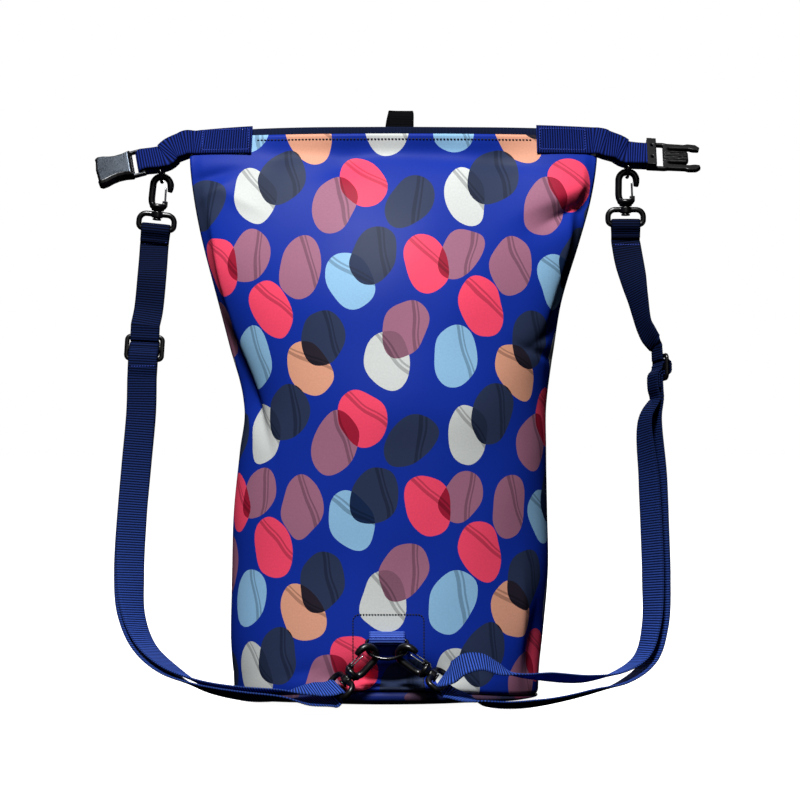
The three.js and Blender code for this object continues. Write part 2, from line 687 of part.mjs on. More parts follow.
const RIGHT_DOUBLE = [
  [215.6, -25, 234, -0.93, -0.36, 0, 9],
  [217, -33, 186, -0.8, -0.6, 0, 9],
  [218, -40, 142, -0.76, -0.65, 0, 8],
  [218.5, -46, 102, -0.76, -0.65, 0.05, 8],
  [217, -52, 66, -0.8, -0.5, 0.25, 8],
  [208.5, -59, 39.5, -0.74, -0.3, 0.6, 8],
  [188, -70, 25.5, -0.4, -0.2, 0.9, 9],
  [160, -82, 20, -0.15, -0.05, 0.99, 11],
  [124, -97, 19, 0, 0, 1, 21],
].map(STRAP_COLUMNS);
const RIGHT_UNDER = [
  [94, -106, 7.5, 0.03, -0.1, 0.99, 0],
  [75, -109, 9.5, 0.1, -0.2, 0.97, 0],
  [62, -107, 12.5, 0.25, -0.3, 0.92, 0],
].map(STRAP_COLUMNS);
const RIGHT_OVER = [
  [100, -105, 32, 0.1, -0.15, 0.98, 0],
  [86, -108, 37, 0.15, -0.3, 0.94, 0],
  [73, -111, 42.5, 0, -0.45, 0.89, 0],
  [60, -112, 41, -0.4, -0.55, 0.73, 0],
  [50.5, -108.5, 34, -0.65, -0.5, 0.55, 0],
].map(STRAP_COLUMNS);

// Outline through half a plan of [along, across] pairs, mirrored across the middle
function mirroredPlan(plan) {
  const outline = new THREE.Shape();
  outline.moveTo(plan[0][0], -plan[0][1]);
  for (const [x, y] of plan.slice(1)) outline.lineTo(x, -y);
  for (const [x, y] of plan.slice().reverse()) if (y > 0) outline.lineTo(x, y);
  return outline;
}

function webbingSlot(from, to) {
  const slot = new THREE.Path();
  slot.moveTo(from, -12.9);
  slot.lineTo(to, -12.9);
  slot.lineTo(to, 12.9);
  slot.lineTo(from, 12.9);
  return slot;
}

const bevelled = (shape, depth, high, size) => new THREE.ExtrudeGeometry(shape, {
  depth, bevelEnabled: true, bevelThickness: high, bevelSize: size, bevelOffset: -size, bevelSegments: 1,
}).translate(0, 0, -depth / 2);

// Side release buckle, socket half: webbing bar at the origin, waist at the windows, socket at the far end
function socketHalf() {
  const waist = [[12, 14.2], [16, 13.2], [22, 13], [27, 14], [32, 16], [36.5, 16.6], [39, 14.5], [40.2, 0]];
  const outline = mirroredPlan([[-2, 15.8], [8, 15.8], ...waist]);
  outline.holes.push(webbingSlot(BUCKLE_BAR, 7.4));
  const plate = bevelled(outline, 2.4, 0.8, 0.8);
  const shell = bevelled(mirroredPlan([[8.6, 14.8], ...waist]), 6.6, 1.8, 2.2);
  const cavity = box(16, 26, 7.4, 34, 0, 0);
  const throat = box(14, 20.6, 7.4, 20, 0, 0);
  const windows = box(9, 60, 6, 19.5, 0, 0);
  return geometryOf(without(joined(plate, shell), cavity, throat, windows));
}

// Plug half: webbing bar at the origin under a cover plate with two holes, side prongs and a guide tongue
function plugHalf() {
  const prong = [[13, 16], [16, 15.2], [30, 15], [33, 16], [40, 15.4], [43.4, 12.4], [42.6, 9], [38, 8.8]];
  const inside = [[34, 9.8], [17.4, 9.4], [16, 8.2], [17.4, 7.2], [32, 6.6], [33.4, 4.6], [33.4, 0]];
  const outline = mirroredPlan([[-2.2, 16], ...prong, ...inside]);
  outline.holes.push(webbingSlot(BUCKLE_BAR, 12));
  const frame = bevelled(outline, 2.8, 0.8, 0.7);
  const cover = box(8, 32, 1.6, 2, 0, 6);
  const posts = [-14.5, 14.5].map((y) => box(8, 3, 5, 2, y, 3.5));
  const holes = [-7, 7].map((y) => box(2, 3, 4, 2.4, y, 6));
  return geometryOf(without(joined(frame, cover, ...posts), ...holes));
}

// Roll-top strap: a tab sewn on the front corner, out to the buckle bar, and back behind to the corner
function rollStrap(tabFrom, tabTo, free, bar) {
  const turn = BUCKLE_BAR + 1 + WEB_THICK / 2;
  const lift = GAP + 0.8 + WEB_THICK / 2;
  const tab = (x, face) => {
    const low = v(x, wallY(x, 456, face), 456);
    const high = v(x, wallY(x, MOUTH_Z, face), MOUTH_Z);
    const w = high.clone().sub(low).normalize();
    const n = v(0, face * w.z, -face * w.y);
    return { p: low.clone().addScaledVector(w, 12).addScaledVector(n, lift), w };
  };
  const steps = 6;
  const along = (share) => tabFrom + (tabTo - tabFrom) * share;
  const front = Array.from({ length: steps + 1 }, (_, i) => tab(along(i / steps), -1));
  const back = [0.72, 0.86, 1].map((share) => tab(along(share), 1));
  const a = front[front.length - 1];
  const b = back[back.length - 1];
  const middle = a.p.clone().lerp(b.p, 0.5);
  const n0 = a.p.clone().sub(b.p).normalize();
  const head = runRow(middle, n0, a.p.distanceTo(b.p));
  const tail = runRow(bar.o.clone().addScaledVector(bar.t, -3), bar.n, 2 * turn);
  const run = freeRun([head, ...free, tail], 14).slice(2);
  const w = v(0, 0, 1);
  const flip = (list) => list.map((s) => ({ p: s.p, w: s.w.dot(w) < 0 ? s.w.clone().negate() : s.w }));
  const stations = [
    ...front,
    ...flip(shifted(run, 0.5)),
    ...flip(halfTurn({ ...bar, n: bar.n.clone().negate() }, turn, 5)),
    ...flip(shifted(run, -0.5)).reverse(),
    ...back.reverse(),
  ];
  return ribbon(stations);
}

// Left end of the mouth
const LEFT_FREE = [
  [-173, 10.5, 464.2, 0, -0.86, 0.5, 7.4],
  [-181, 11.5, 458.3, 0, -0.8, 0.6, 7.4],
  [-193, 10, 452, 0, -0.77, 0.64, 7.4],
].map(STRAP_COLUMNS);
const leftBar = laceFrame(v(-209, 8, 450), v(-0.97, 0, -0.25), v(0, -0.75, 0.66));
add("roll_strap_left", rollStrap(-116, -165, LEFT_FREE, leftBar), WEBBING);
const onBar = (bar) => placed(bar.o, bar.t, bar.n.clone().cross(bar.t), bar.n);
add("buckle_female", socketHalf(), PLASTIC, onBar(leftBar));

// Right end of the mouth
const RIGHT_FREE = [
  [180, 5, 465.2, 0, -0.93, 0.36, 7.4],
  [189, 7, 461.4, 0, -0.86, 0.5, 7.4],
  [200.5, 9, 456, 0, -0.8, 0.6, 7.4],
].map(STRAP_COLUMNS);
const rightBar = laceFrame(v(218, 8, 455), v(0.995, 0, -0.05), v(0, -0.75, 0.66));
add("roll_strap_right", rollStrap(123, 171, RIGHT_FREE, rightBar), WEBBING);
add("buckle_male", plugHalf(), PLASTIC, onBar(rightBar));

// Rings in the folded webbing, hanging behind it
const RING_LEFT = { o: v(-193, 11.2, 453.4), bar: v(0, 0.64, 0.77), down: v(0, 0.77, -0.64) };
const RING_RIGHT = { o: v(200.5, 10, 457.4), bar: v(0, 0.6, 0.8), down: v(0, 0.8, -0.6) };
addRing("ring_left", RING_LEFT);
addRing("ring_right", RING_RIGHT);

// Ring at the foot of the front, standing out over the hooks
const FOOT_X = -2;
const FOOT_Z = 57;
const footWall = wallY(FOOT_X, FOOT_Z, -1);
const RING_BOTTOM = { o: v(FOOT_X, footWall - 5, FOOT_Z), bar: v(1, 0, 0), down: v(0, -0.75, -0.66) };
addRing("ring_bottom", RING_BOTTOM);

// Loop of webbing that holds it
const loopFrame = laceFrame(v(FOOT_X, footWall - 5, FOOT_Z), v(0, 0, -1), v(0, -1, 0));
const loopTurn = RING_ROD + 0.5 + WEB_THICK / 2;
add("ring_loop", ribbon([
  ...lace(loopFrame, [[-6.5, -3.5], [-2, -3.3]]),
  ...halfTurn(loopFrame, loopTurn, 6),
  ...lace(loopFrame, [[-2, 2.6], [-4.2, 0.6], [-6.5, -1.5]]),
], FOOT_LOOP_WIDTH), WEBBING);

// Hooks
const FRONT = v(0, -1, 0);
const RIGHT = v(1, 0, 0);
const topLeft = addHook("top_left", onRing(RING_LEFT, -54), v(0.1, 0, 1), RIGHT, FRONT);
const topRight = addHook("top_right", onRing(RING_RIGHT, -53), v(0, 0, 1), RIGHT, FRONT);
const lowLeft = addHook(
  "bottom_left", onRing(RING_BOTTOM, -57), v(0.69, 0.08, 0.72), v(-0.5, -0.6, 0.5), v(-0.6, -0.55, 0.7), -34,
);
const lowRight = addHook(
  "bottom_right", onRing(RING_BOTTOM, 57), v(-0.81, 0.08, 0.58), v(0.5, -0.6, 0.5), v(0.6, -0.4, 0.75), 26,
);

// Adjusters and shoulder straps
const glideLeft = laceFrame(v(-205, -11, 293), v(-0.05, -0.12, -1), v(0, -1, 0.1));
const glideRight = laceFrame(v(225, -20, 276), v(0, -0.1, -1), v(-1, -0.25, 0));
addGlide("triglide_left", glideLeft);
addGlide("triglide_right", glideRight);
const leftEnds = { under: LEFT_UNDER, over: LEFT_OVER, wrap: 0.45, singleSteps: 6, doubleSteps: 26 };
const rightEnds = { under: RIGHT_UNDER, over: RIGHT_OVER, wrap: 0.3, singleSteps: 9, doubleSteps: 30 };
const leftStrap = { single: LEFT_SINGLE, double: LEFT_DOUBLE, ...leftEnds };
const rightStrap = { single: RIGHT_SINGLE, double: RIGHT_DOUBLE, ...rightEnds };
add("strap_left", strap(topLeft, glideLeft, lowLeft, leftStrap), WEBBING);
add("strap_right", strap(topRight, glideRight, lowRight, rightStrap), WEBBING);

// Black loop behind the mouth, to hang the bag by
const HANG_X = 9.5;
const HANG_WIDTH = 21;
const hangRun = [
  [0, 1.8, 450], [0, 2.6, 461], [0, 1.8, 472], [0, 3, 485], [0, 5, 491.5], [-0.5, 8, 494], [-1, 11, 491.5],
  [-2.5, 12.4, 485], [-4, 11, 472], [-5, 7.4, 461], [-5, 5.6, 454], [-5, 5.4, 448],
].map(named("across", "out", "z"));
const hangStations = hangRun.map(({ across, out, z }) => {
  const x = HANG_X + across;
  return { p: v(x, wallY(x, Math.min(z, MOUTH_Z), 1) + out, z), w: RIGHT };
});
add("hang_loop", ribbon(hangStations, HANG_WIDTH, WEB_THICK), BLACK_WEBBING);

export default part;
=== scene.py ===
# %% [markdown]
# # A roll-top dry bag with shoulder straps
# The bag is a tube of coated cloth that stands open on an oval base. Two webbing straps hang on swivel
# hooks, and a side release buckle closes the rolled mouth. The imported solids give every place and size,
# so the first cell loads them and keeps the box that they fill.

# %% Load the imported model
import math
from functools import lru_cache

import bpy
import numpy as np
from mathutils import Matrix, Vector
from mathutils.bvhtree import BVHTree


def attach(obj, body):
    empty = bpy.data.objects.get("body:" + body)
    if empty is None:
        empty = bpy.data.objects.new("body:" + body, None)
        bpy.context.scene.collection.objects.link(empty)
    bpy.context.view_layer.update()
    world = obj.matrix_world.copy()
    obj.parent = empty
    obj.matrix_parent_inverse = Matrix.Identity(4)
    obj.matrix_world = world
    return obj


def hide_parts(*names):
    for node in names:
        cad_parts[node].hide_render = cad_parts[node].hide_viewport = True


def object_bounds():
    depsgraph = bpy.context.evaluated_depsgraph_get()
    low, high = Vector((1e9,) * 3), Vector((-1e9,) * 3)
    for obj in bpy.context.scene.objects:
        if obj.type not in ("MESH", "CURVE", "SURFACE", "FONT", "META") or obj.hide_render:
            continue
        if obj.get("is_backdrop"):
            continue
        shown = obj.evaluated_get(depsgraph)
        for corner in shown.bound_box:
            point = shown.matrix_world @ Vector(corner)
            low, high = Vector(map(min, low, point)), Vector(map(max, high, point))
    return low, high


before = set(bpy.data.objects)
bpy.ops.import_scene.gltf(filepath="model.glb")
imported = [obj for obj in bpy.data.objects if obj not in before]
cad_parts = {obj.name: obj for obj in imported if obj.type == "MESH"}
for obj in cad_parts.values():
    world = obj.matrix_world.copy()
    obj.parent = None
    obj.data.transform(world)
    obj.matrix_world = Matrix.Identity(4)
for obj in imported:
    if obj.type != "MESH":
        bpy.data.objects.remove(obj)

cad_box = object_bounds()
MM = 0.001
print("nodes in the frame:", len(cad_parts))

# %% [markdown]
# ## Camera
# The photograph looks level at the middle of the bag from about two metres. A long lens could also be
# made with a large sensor, but the field of view says the same thing in one number: so many millimetres
# across the picture at a known distance.

# %% Camera at the photograph's place
CAMERA_AWAY = 1900
CAMERA_X = 8.4
CAMERA_Z = 249.5
PICTURE_ACROSS = 672
lens = bpy.data.cameras.new("camera")
lens.angle = 2 * math.atan(PICTURE_ACROSS / 2 / CAMERA_AWAY)
camera = bpy.data.objects.new("camera", lens)
camera.location = Vector((CAMERA_X, -CAMERA_AWAY, CAMERA_Z)) * MM
camera.rotation_euler = (math.pi / 2, 0, 0)
bpy.context.scene.collection.objects.link(camera)
bpy.context.scene.camera = camera
print("camera sees", PICTURE_ACROSS, "mm across at the middle of the bag")

# %% [markdown]
# ## Shader sums
# Finishes are written as sums. `Wire` holds one socket, and adding, multiplying or comparing two wires
# puts a Math node between them. `Finish` owns one material, and its `node` method makes any other node:
# first the node's own settings, then the values and links of its sockets. Nodes could be joined one by
# one, but a sum is easier to read and to change.

# %% A socket that can be added and multiplied
class Wire:
    """One output socket of a shader tree."""

    def __init__(self, finish, socket):
        self.finish = finish
        self.socket = socket

    def __add__(self, other):
        return self.finish.sum("ADD", self, other)

    def __radd__(self, other):
        return self.finish.sum("ADD", other, self)

    def __mul__(self, other):
        return self.finish.sum("MULTIPLY", self, other)

    def __pow__(self, other):
        return self.finish.sum("POWER", self, other)

    def __rpow__(self, other):
        return self.finish.sum("POWER", other, self)

    def __lt__(self, other):
        return self.finish.sum("LESS_THAN", self, other)

    def __gt__(self, other):
        return self.finish.sum("GREATER_THAN", self, other)


class Finish:
    """One material and the nodes that make it."""

    def __init__(self, name):
        self.material = bpy.data.materials.new(name)
        self.material.use_nodes = True
        self.tree = self.material.node_tree
        self.shader = self.tree.nodes["Principled BSDF"]

    def node(self, kind, settings, sockets, output=0):
        made = self.tree.nodes.new(kind)
        for key, value in settings.items():
            setattr(made, key, value)
        for key, value in sockets.items():
            self.plug(made.inputs[key], value)
        return Wire(self, made.outputs[output])

    def plug(self, socket, value):
        if isinstance(value, Wire):
            self.tree.links.new(value.socket, socket)
        else:
            socket.default_value = value

    def set(self, **sockets):
        for key, value in sockets.items():
            self.plug(self.shader.inputs[key.replace("_", " ")], value)

    def sum(self, operation, *values):
        return self.node("ShaderNodeMath", {"operation": operation}, dict(enumerate(values)))

    def mix(self, share, first, second, blend="MIX"):
        settings = {"data_type": "RGBA", "blend_type": blend}
        return self.node("ShaderNodeMix", settings, {0: share, 6: first, 7: second}, 2)

    def vector(self, operation, first, second, output=0):
        return self.node("ShaderNodeVectorMath", {"operation": operation}, {0: first, 1: second}, output)

    def split(self, vector):
        node = self.node("ShaderNodeSeparateXYZ", {}, {0: vector}).socket.node
        return [Wire(self, out) for out in node.outputs]

    def cloth(self):
        return self.node("ShaderNodeUVMap", {"uv_map": "cloth"}, {})

    def place(self):
        return self.node("ShaderNodeTexCoord", {}, {}, 3)

    def noise(self, where, scale, detail=2.0):
        return self.node("ShaderNodeTexNoise", {}, {"Vector": where, "Scale": scale, "Detail": detail})

    def wave(self, along, pitch):
        return self.sum("COSINE", along * (2 * math.pi / pitch)) * 0.5 + 0.5

    def bump(self, height, distance):
        return self.node("ShaderNodeBump", {}, {"Strength": 1.0, "Distance": distance, "Height": height})


def ink(red, green, blue):
    """Colour of a finish from the 0 to 255 values of a picture."""
    channel = lambda c: c / 12.92 if c <= 0.04045 else ((c + 0.055) / 1.055) ** 2.4
    return (channel(red / 255), channel(green / 255), channel(blue / 255), 1.0)


print("shader helpers are ready")

# %% [markdown]
# ## Printed coated cloth
# The wall is cloth with a coloured, satin coating. The print is a small repeat of overlapping river
# pebbles with two stripes each, charted as a table: place, size, tilt and ink of each pebble,
# in millimetres on the flat cloth. Where one pebble covers another, the inks multiply, as two passes of
# a screen print do. An image could hold the same print, but a table keeps its edges sharp at any
# distance.

# %% The repeat of pebbles
REPEAT_WIDE = 176
REPEAT_TALL = 196
CREAM = ink(214, 218, 215)
SKY = ink(148, 196, 232)
MAUVE = ink(164, 108, 132)
CORAL = ink(255, 76, 108)
PEACH = ink(232, 166, 136)
SLATE = ink(44, 55, 83)
GROUND = ink(15, 48, 160)
BLACK = (0.0, 0.0, 0.0, 1.0)
# Dark colour of the scuffs, which on the base is painted shade.
SOIL_AND_SHADE = (0.01, 0.012, 0.03, 1.0)
STRIPES = ((0.34, 0.07), (0.52, 0.035))
STRIPE_DARK = 0.4
WOBBLE = 9
PEBBLES = [
    # across, up, half width, half height, tilt, ink
    (20, 26, 18.5, 25, 14, CREAM),
    (43, 43, 19, 25, -20, SLATE),
    (88, 18, 19, 25.5, -10, MAUVE),
    (110, 38, 18, 24.5, 26, CORAL),
    (150, 20, 18, 24, -34, SLATE),
    (12, 88, 18.5, 25.5, -16, SKY),
    (66, 78, 18, 24.5, 34, PEACH),
    (81, 103, 19, 25, -14, SLATE),
    (132, 86, 18.5, 25, 8, CREAM),
    (148, 112, 18, 25, -28, MAUVE),
    (36, 128, 18.5, 25, 22, CORAL),
    (62, 162, 18, 25, -6, MAUVE),
    (104, 152, 18, 24, 30, SKY),
    (123, 172, 18.5, 24.5, -18, SLATE),
    (166, 164, 18, 24.5, 20, CORAL),
    (18, 172, 17, 23, -36, MAUVE),
]


def pebble_print(finish, shift):
    """Colour of the print on the flat cloth, moved by a shift in millimetres."""
    flat = finish.cloth()
    loose = finish.node("ShaderNodeTexNoise", {}, {"Vector": flat, "Scale": 34.0, "Detail": 0.0}, 1)
    wobble = finish.vector("SUBTRACT", loose, (0.5, 0.5, 0.5))
    wobble = finish.vector("MULTIPLY", wobble, (WOBBLE * MM, WOBBLE * MM, 0))
    place = finish.vector("ADD", flat, wobble)
    colour = GROUND
    covered = None
    for across, up, half_wide, half_tall, tilt, own in PEBBLES:
        centre = ((across + shift[0]) * MM, (up + shift[1]) * MM, 0)
        near = finish.vector("SUBTRACT", place, centre)
        far = (REPEAT_WIDE * MM / 2, REPEAT_TALL * MM / 2, 1)
        wrap = {0: near, 1: far, 2: tuple(-c for c in far)}
        near = finish.node("ShaderNodeVectorMath", {"operation": "WRAP"}, wrap)
        size = (half_wide * MM, half_tall * MM, 1)
        turned = {"Vector": near, "Rotation": (0, 0, math.radians(tilt)), "Scale": size}
        local = finish.node("ShaderNodeMapping", {"vector_type": "TEXTURE"}, turned)
        inside = finish.vector("LENGTH", local, (0, 0, 0), 1) < 1.0
        x, y, _ = finish.split(local)
        slant = x * 0.8 + y * 0.6
        wide, thin = (finish.sum("COMPARE", slant, *stripe) for stripe in STRIPES)
        shade = finish.mix((wide + thin) * STRIPE_DARK, own, BLACK)
        if covered is None:
            colour = finish.mix(inside, colour, shade)
            covered = inside
        else:
            both = finish.mix(1.0, colour, shade, "MULTIPLY")
            colour = finish.mix(inside, colour, finish.mix(covered, shade, both))
            covered = finish.sum("MAXIMUM", covered, inside)
    return colour


def coated_cloth(name, shift, scuffs_and_shade):
    """Satin coating over a plain weave, with the print in it and scuffs over it; heavy scuffs are painted
    shade.
    """
    finish = Finish(name)
    flat = finish.cloth()
    dirt_and_shade_noise = finish.noise(flat, 14.0, 3.0)
    speckle = finish.noise(flat, 620.0, 2.0)
    dirt_and_shade = dirt_and_shade_noise * scuffs_and_shade + speckle * 0.2
    # Light scuffs are dirt; heavy ones, as on the base, darken nearly all the cloth and are painted shade.
    colour = finish.mix(dirt_and_shade, pebble_print(finish, shift), SOIL_AND_SHADE)
    across, up, _ = finish.split(flat)
    weave = finish.wave(across, 0.9 * MM) * finish.wave(up, 0.9 * MM)
    grain = finish.noise(flat, 1500.0, 2.0)
    finish.set(Base_Color=colour, Roughness=0.38 + grain * 0.12 + dirt_and_shade_noise * 0.08, Specular_IOR_Level=0.08)
    finish.set(Normal=finish.bump(weave * 0.35 + grain, 0.045 * MM))
    return finish.material


print("print holds", len(PEBBLES), "pebbles in a repeat of", REPEAT_WIDE, "by", REPEAT_TALL, "mm")

# %% [markdown]
# ## Webbing, tape, thread, plastic and wire
# Strap webbing is woven with ribs across it. The ribs are in the mesh, and the finish adds the yarns, a
# darker edge, and paler tops of the ribs over darker grooves, a painted highlight and painted shade. The
# shoulder straps are painted lighter towards the ground and darker higher up: painted light below and
# painted shade above. Moulded plastic has a fine grain and soft gloss, and the wire gates are bright
# spring steel. A picture of webbing could be laid on the straps, but it would not follow the pitch of
# the ribs.

# %% Finishes of the straps and fittings
RIB_PITCH = 2.1
WEB_WIDTH = 24.4
FOOT_LOOP_WIDTH = 28.8
BAND_WIDTH = 25
BAND_PITCH = 1.2
HANG_WIDTH = 21
RIM = 1.3
PAINTED_LIGHT_AT_FLOOR = 3.6
PAINTED_SHADE_PER_METRE = 0.0008


def woven(name, deep, bright, rib_pitch, width, painted_light_by_height=False):
    """Ribbed webbing whose ribs run across it; on the straps, painted light near the ground and painted
    shade higher up.
    """
    finish = Finish(name)
    across, along, _ = finish.split(finish.cloth())
    rib = finish.wave(along, rib_pitch * MM) ** 1.6
    yarn = finish.wave(across, 0.8 * MM)
    fleck = finish.noise(finish.cloth(), 900.0, 3.0)
    rim = finish.sum("ABSOLUTE", across) > (width / 2 - RIM) * MM
    # Painted highlight and painted shade: rib tops lighter and grooves darker, in step with the ribs of
    # the mesh.
    lit = rib * (0.6 + fleck * 0.4) + yarn * 0.06
    colour = finish.mix(lit, deep, bright)
    colour = finish.mix(rim * 0.35, colour, deep)
    # Painted light and shade by height: the colour is multiplied by a factor well above one near the floor
    # and well below one higher up.
    if painted_light_by_height:
        _, _, height = finish.split(finish.place())
        colour = finish.mix(1.0, colour, PAINTED_SHADE_PER_METRE ** height * PAINTED_LIGHT_AT_FLOOR, "MULTIPLY")
    finish.set(Base_Color=colour, Roughness=0.7 + fleck * 0.2, Specular_IOR_Level=0.05)
    finish.set(Normal=finish.bump(yarn * 0.6 + fleck * 0.6 + rib * 0.3, 0.09 * MM))
    return finish.material


def plain_finish(name, colour, roughness, grain_scale, grain_depth, metal=0.0):
    """Moulded or drawn stock with a fine grain."""
    finish = Finish(name)
    where = finish.place()
    grain = finish.noise(where, grain_scale, 3.0)
    worn = finish.noise(where, grain_scale / 12, 2.0)
    pale = tuple(min(1.0, c * 1.6 + 0.002) for c in colour[:3]) + (1.0,)
    finish.set(Base_Color=finish.mix(worn * 0.5, colour, pale), Roughness=roughness + worn * 0.16)
    finish.set(Normal=finish.bump(grain, grain_depth * MM), Metallic=metal)
    return finish.material


# The shoulder straps carry painted light near the ground and painted shade higher up.
WEBBING = woven("webbing_blue", ink(3, 6, 20), ink(36, 60, 130), RIB_PITCH, WEB_WIDTH, painted_light_by_height=True)
# The tabs' webbing is a copy of the strap webbing with inks of its own, brighter than the straps at this
# height: painted light.
TAB_WEBBING_LIT_COPY = woven("webbing_tabs_lit_copy", ink(2, 5, 26), ink(25, 46, 132), RIB_PITCH, WEB_WIDTH)
# The foot loop's webbing is a brighter copy of the strap webbing: painted light.
FOOT_WEBBING_LIT_COPY = woven("webbing_foot_lit_copy", ink(14, 27, 100), ink(94, 128, 232), RIB_PITCH, FOOT_LOOP_WIDTH)
BAND = woven("band_navy", ink(13, 20, 40), ink(27, 38, 72), BAND_PITCH, BAND_WIDTH)
BLACK_WEBBING = woven("webbing_black", ink(2, 2, 4), ink(9, 9, 12), 1.6, HANG_WIDTH)
PLASTIC = plain_finish("black_plastic", ink(5, 5, 7), 0.22, 2600.0, 0.004)
GLOSSY_PLASTIC = plain_finish("glossy_plastic", ink(5, 5, 7), 0.1, 2600.0, 0.004)
STEEL = plain_finish("steel_wire", ink(205, 208, 214), 0.18, 3000.0, 0.004, 1.0)
DARK_THREAD = plain_finish("thread_dark", ink(14, 16, 30), 0.7, 4000.0, 0.05)
BLUE_THREAD = plain_finish("thread_blue", ink(30, 52, 140), 0.7, 4000.0, 0.05)
FRONT_CLOTH = coated_cloth("bag_fabric_front", (40, 0), 0.16)
BACK_CLOTH = coated_cloth("bag_fabric_back", (60, 90), 0.16)
# The base's heavy scuffs are painted shade: they darken nearly the whole base, which faces down.
BASE_CLOTH = coated_cloth("bag_fabric_base", (0, 116), 1.5)
print("finishes:", len(bpy.data.materials))

# %% [markdown]
# ## Meshes from rows of points
# Nearly every piece here is a grid: rows of points with faces between neighbouring rows. One function
# turns such rows into a mesh, closes it where it should be closed, and lays the cloth's own flat
# coordinates on it in metres, so that prints and ribs keep their true scale. Modifiers could bend plain
# sheets to the same shapes, but rows say where every point is.

# %% Grid meshes
def new_piece(name, mesh, material, body="bag", node=None):
    """Puts a mesh in the scene, riding on a body of the frame."""
    piece = bpy.data.objects.new(name, mesh)
    bpy.context.scene.collection.objects.link(piece)
    mesh.materials.clear()
    mesh.materials.append(material)
    mesh.polygons.foreach_set("use_smooth", [True] * len(mesh.polygons))
    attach(piece, body)
    if node:
        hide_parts(node)
    return piece


def mesh_of(name, points, faces, flat=None):
    """Mesh from points in millimetres, faces, and flat coordinates for each corner in millimetres."""
    mesh = bpy.data.meshes.new(name)
    mesh.from_pydata((np.asarray(points) * MM).tolist(), [], faces)
    if flat is not None:
        layer = mesh.uv_layers.new(name="cloth")
        layer.data.foreach_set("uv", (np.asarray(flat, np.float32) * MM).ravel())
    mesh.update()
    return mesh


def grid(rows, flat, loop_rows=False, loop_columns=False, start=0):
    """Faces and corner coordinates of a grid of points; flat has one more row or column where it loops."""
    count, wide = rows.shape[:2]
    faces = []
    corners = []
    for i in range(count if loop_rows else count - 1):
        j = (i + 1) % count
        for k in range(wide if loop_columns else wide - 1):
            m = (k + 1) % wide
            face = (i * wide + k, i * wide + m, j * wide + m, j * wide + k)
            faces.append(tuple(start + corner for corner in face))
            corners.extend((flat[i, k], flat[i, k + 1], flat[i + 1, k + 1], flat[i + 1, k]))
    return faces, corners


def tube_mesh(name, rings, flat=None, loop=False):
    """Closed mesh through rings of points, capped at its ends unless it loops."""
    rings = np.asarray(rings, float)
    count, wide = rings.shape[:2]
    if flat is None:
        along = np.arange(count + 1)[:, None] * np.ones(wide + 1)
        flat = np.stack([np.ones(count + 1)[:, None] * np.arange(wide + 1), along], -1)
    faces, corners = grid(rings, flat, loop, True)
    if not loop:
        ends = [list(range(wide))[::-1], [(count - 1) * wide + k for k in range(wide)]]
        for end, row in zip(ends, (0, count - 1)):
            faces.append(tuple(end))
            corners.extend(flat[row, k % wide] for k in end)
    return mesh_of(name, rings.reshape(-1, 3), faces, corners)


def unit(a):
    return a / np.maximum(np.linalg.norm(a, axis=-1, keepdims=True), 1e-9)


def lengths(points):
    """Length along a line, from its start to each of its points."""
    return np.concatenate([[0], np.cumsum(np.linalg.norm(np.diff(points, axis=0), axis=1))])


def hermite(a, b, slope_a, slope_b, t):
    """Smooth step from a to b that leaves and arrives with given slopes."""
    return ((2 * t**3 - 3 * t**2 + 1) * a + (t**3 - 2 * t**2 + t) * slope_a
            + (-2 * t**3 + 3 * t**2) * b + (t**3 - t**2) * slope_b)


print("mesh helpers are ready")

# %% [markdown]
# ## Shape of the bag
# The cloth does not stretch, so every level of the bag has the same girth: where the bag is wide it is
# thin, and where it is narrow it bulges. The section table gives the reach to each side and how round
# the ends are, and the depth follows from the girth. A sculpted bag could look like it, but would not
# keep its cloth's width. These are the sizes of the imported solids, drawn finer here.

# %% Sections of the bag
GIRTH = 687
WALL = 1.2
MOUTH_Z = 472
BASE_Z = 20
SEAM_SIDE = 4
SEAM_FRONT = 16
SEAM_WELD = 12
WELD_FROM_Z = 380
SECTIONS = np.array([
    # z, left, right, round, tight, lean left, lean right
    (12, 130, 124, 0.5, 0.995, 0, 0),
    (31, 132, 125.5, 0.5, 0.995, 0, 0),
    (56, 133.5, 128.5, 0.5, 0.995, 0, 0),
    (107, 132.7, 132.7, 0.5, 0.99, 0, 0),
    (157, 131, 132, 0.5, 0.985, 0, 0),
    (207, 126, 131, 0.51, 0.97, 0, 0),
    (245, 122, 131, 0.53, 0.96, 0, 0),
    (296, 135, 138, 0.56, 0.975, 0, 0),
    (334, 145, 144.5, 0.62, 0.985, 0, 0),
    (384, 158, 159.6, 0.75, 0.995, 0, 0),
    (418, 164.6, 168.8, 0.87, 0.998, 0, 0),
    (450, 168.3, 173.8, 1, 1, 2, 1),
    (472, 168.5, 174, 1, 1, 15, 8),
])
TURN = np.linspace(0, np.pi, 241)


def smooth_row(table, z):
    """Row of a table at a height, drawn smoothly through the rows."""
    heights = table[:, 0]
    z = min(max(z, heights[0]), heights[-1])
    i = int(np.clip(np.searchsorted(heights, z) - 1, 0, len(table) - 2))
    a, b = table[i], table[i + 1]
    span = b[0] - a[0]
    before = table[max(i - 1, 0)]
    after = table[min(i + 2, len(table) - 1)]
    slope_a = (b - before) / (b[0] - before[0])
    slope_b = (after - a) / (after[0] - a[0])
    return hermite(a, b, slope_a * span, slope_b * span, (z - a[0]) / span)


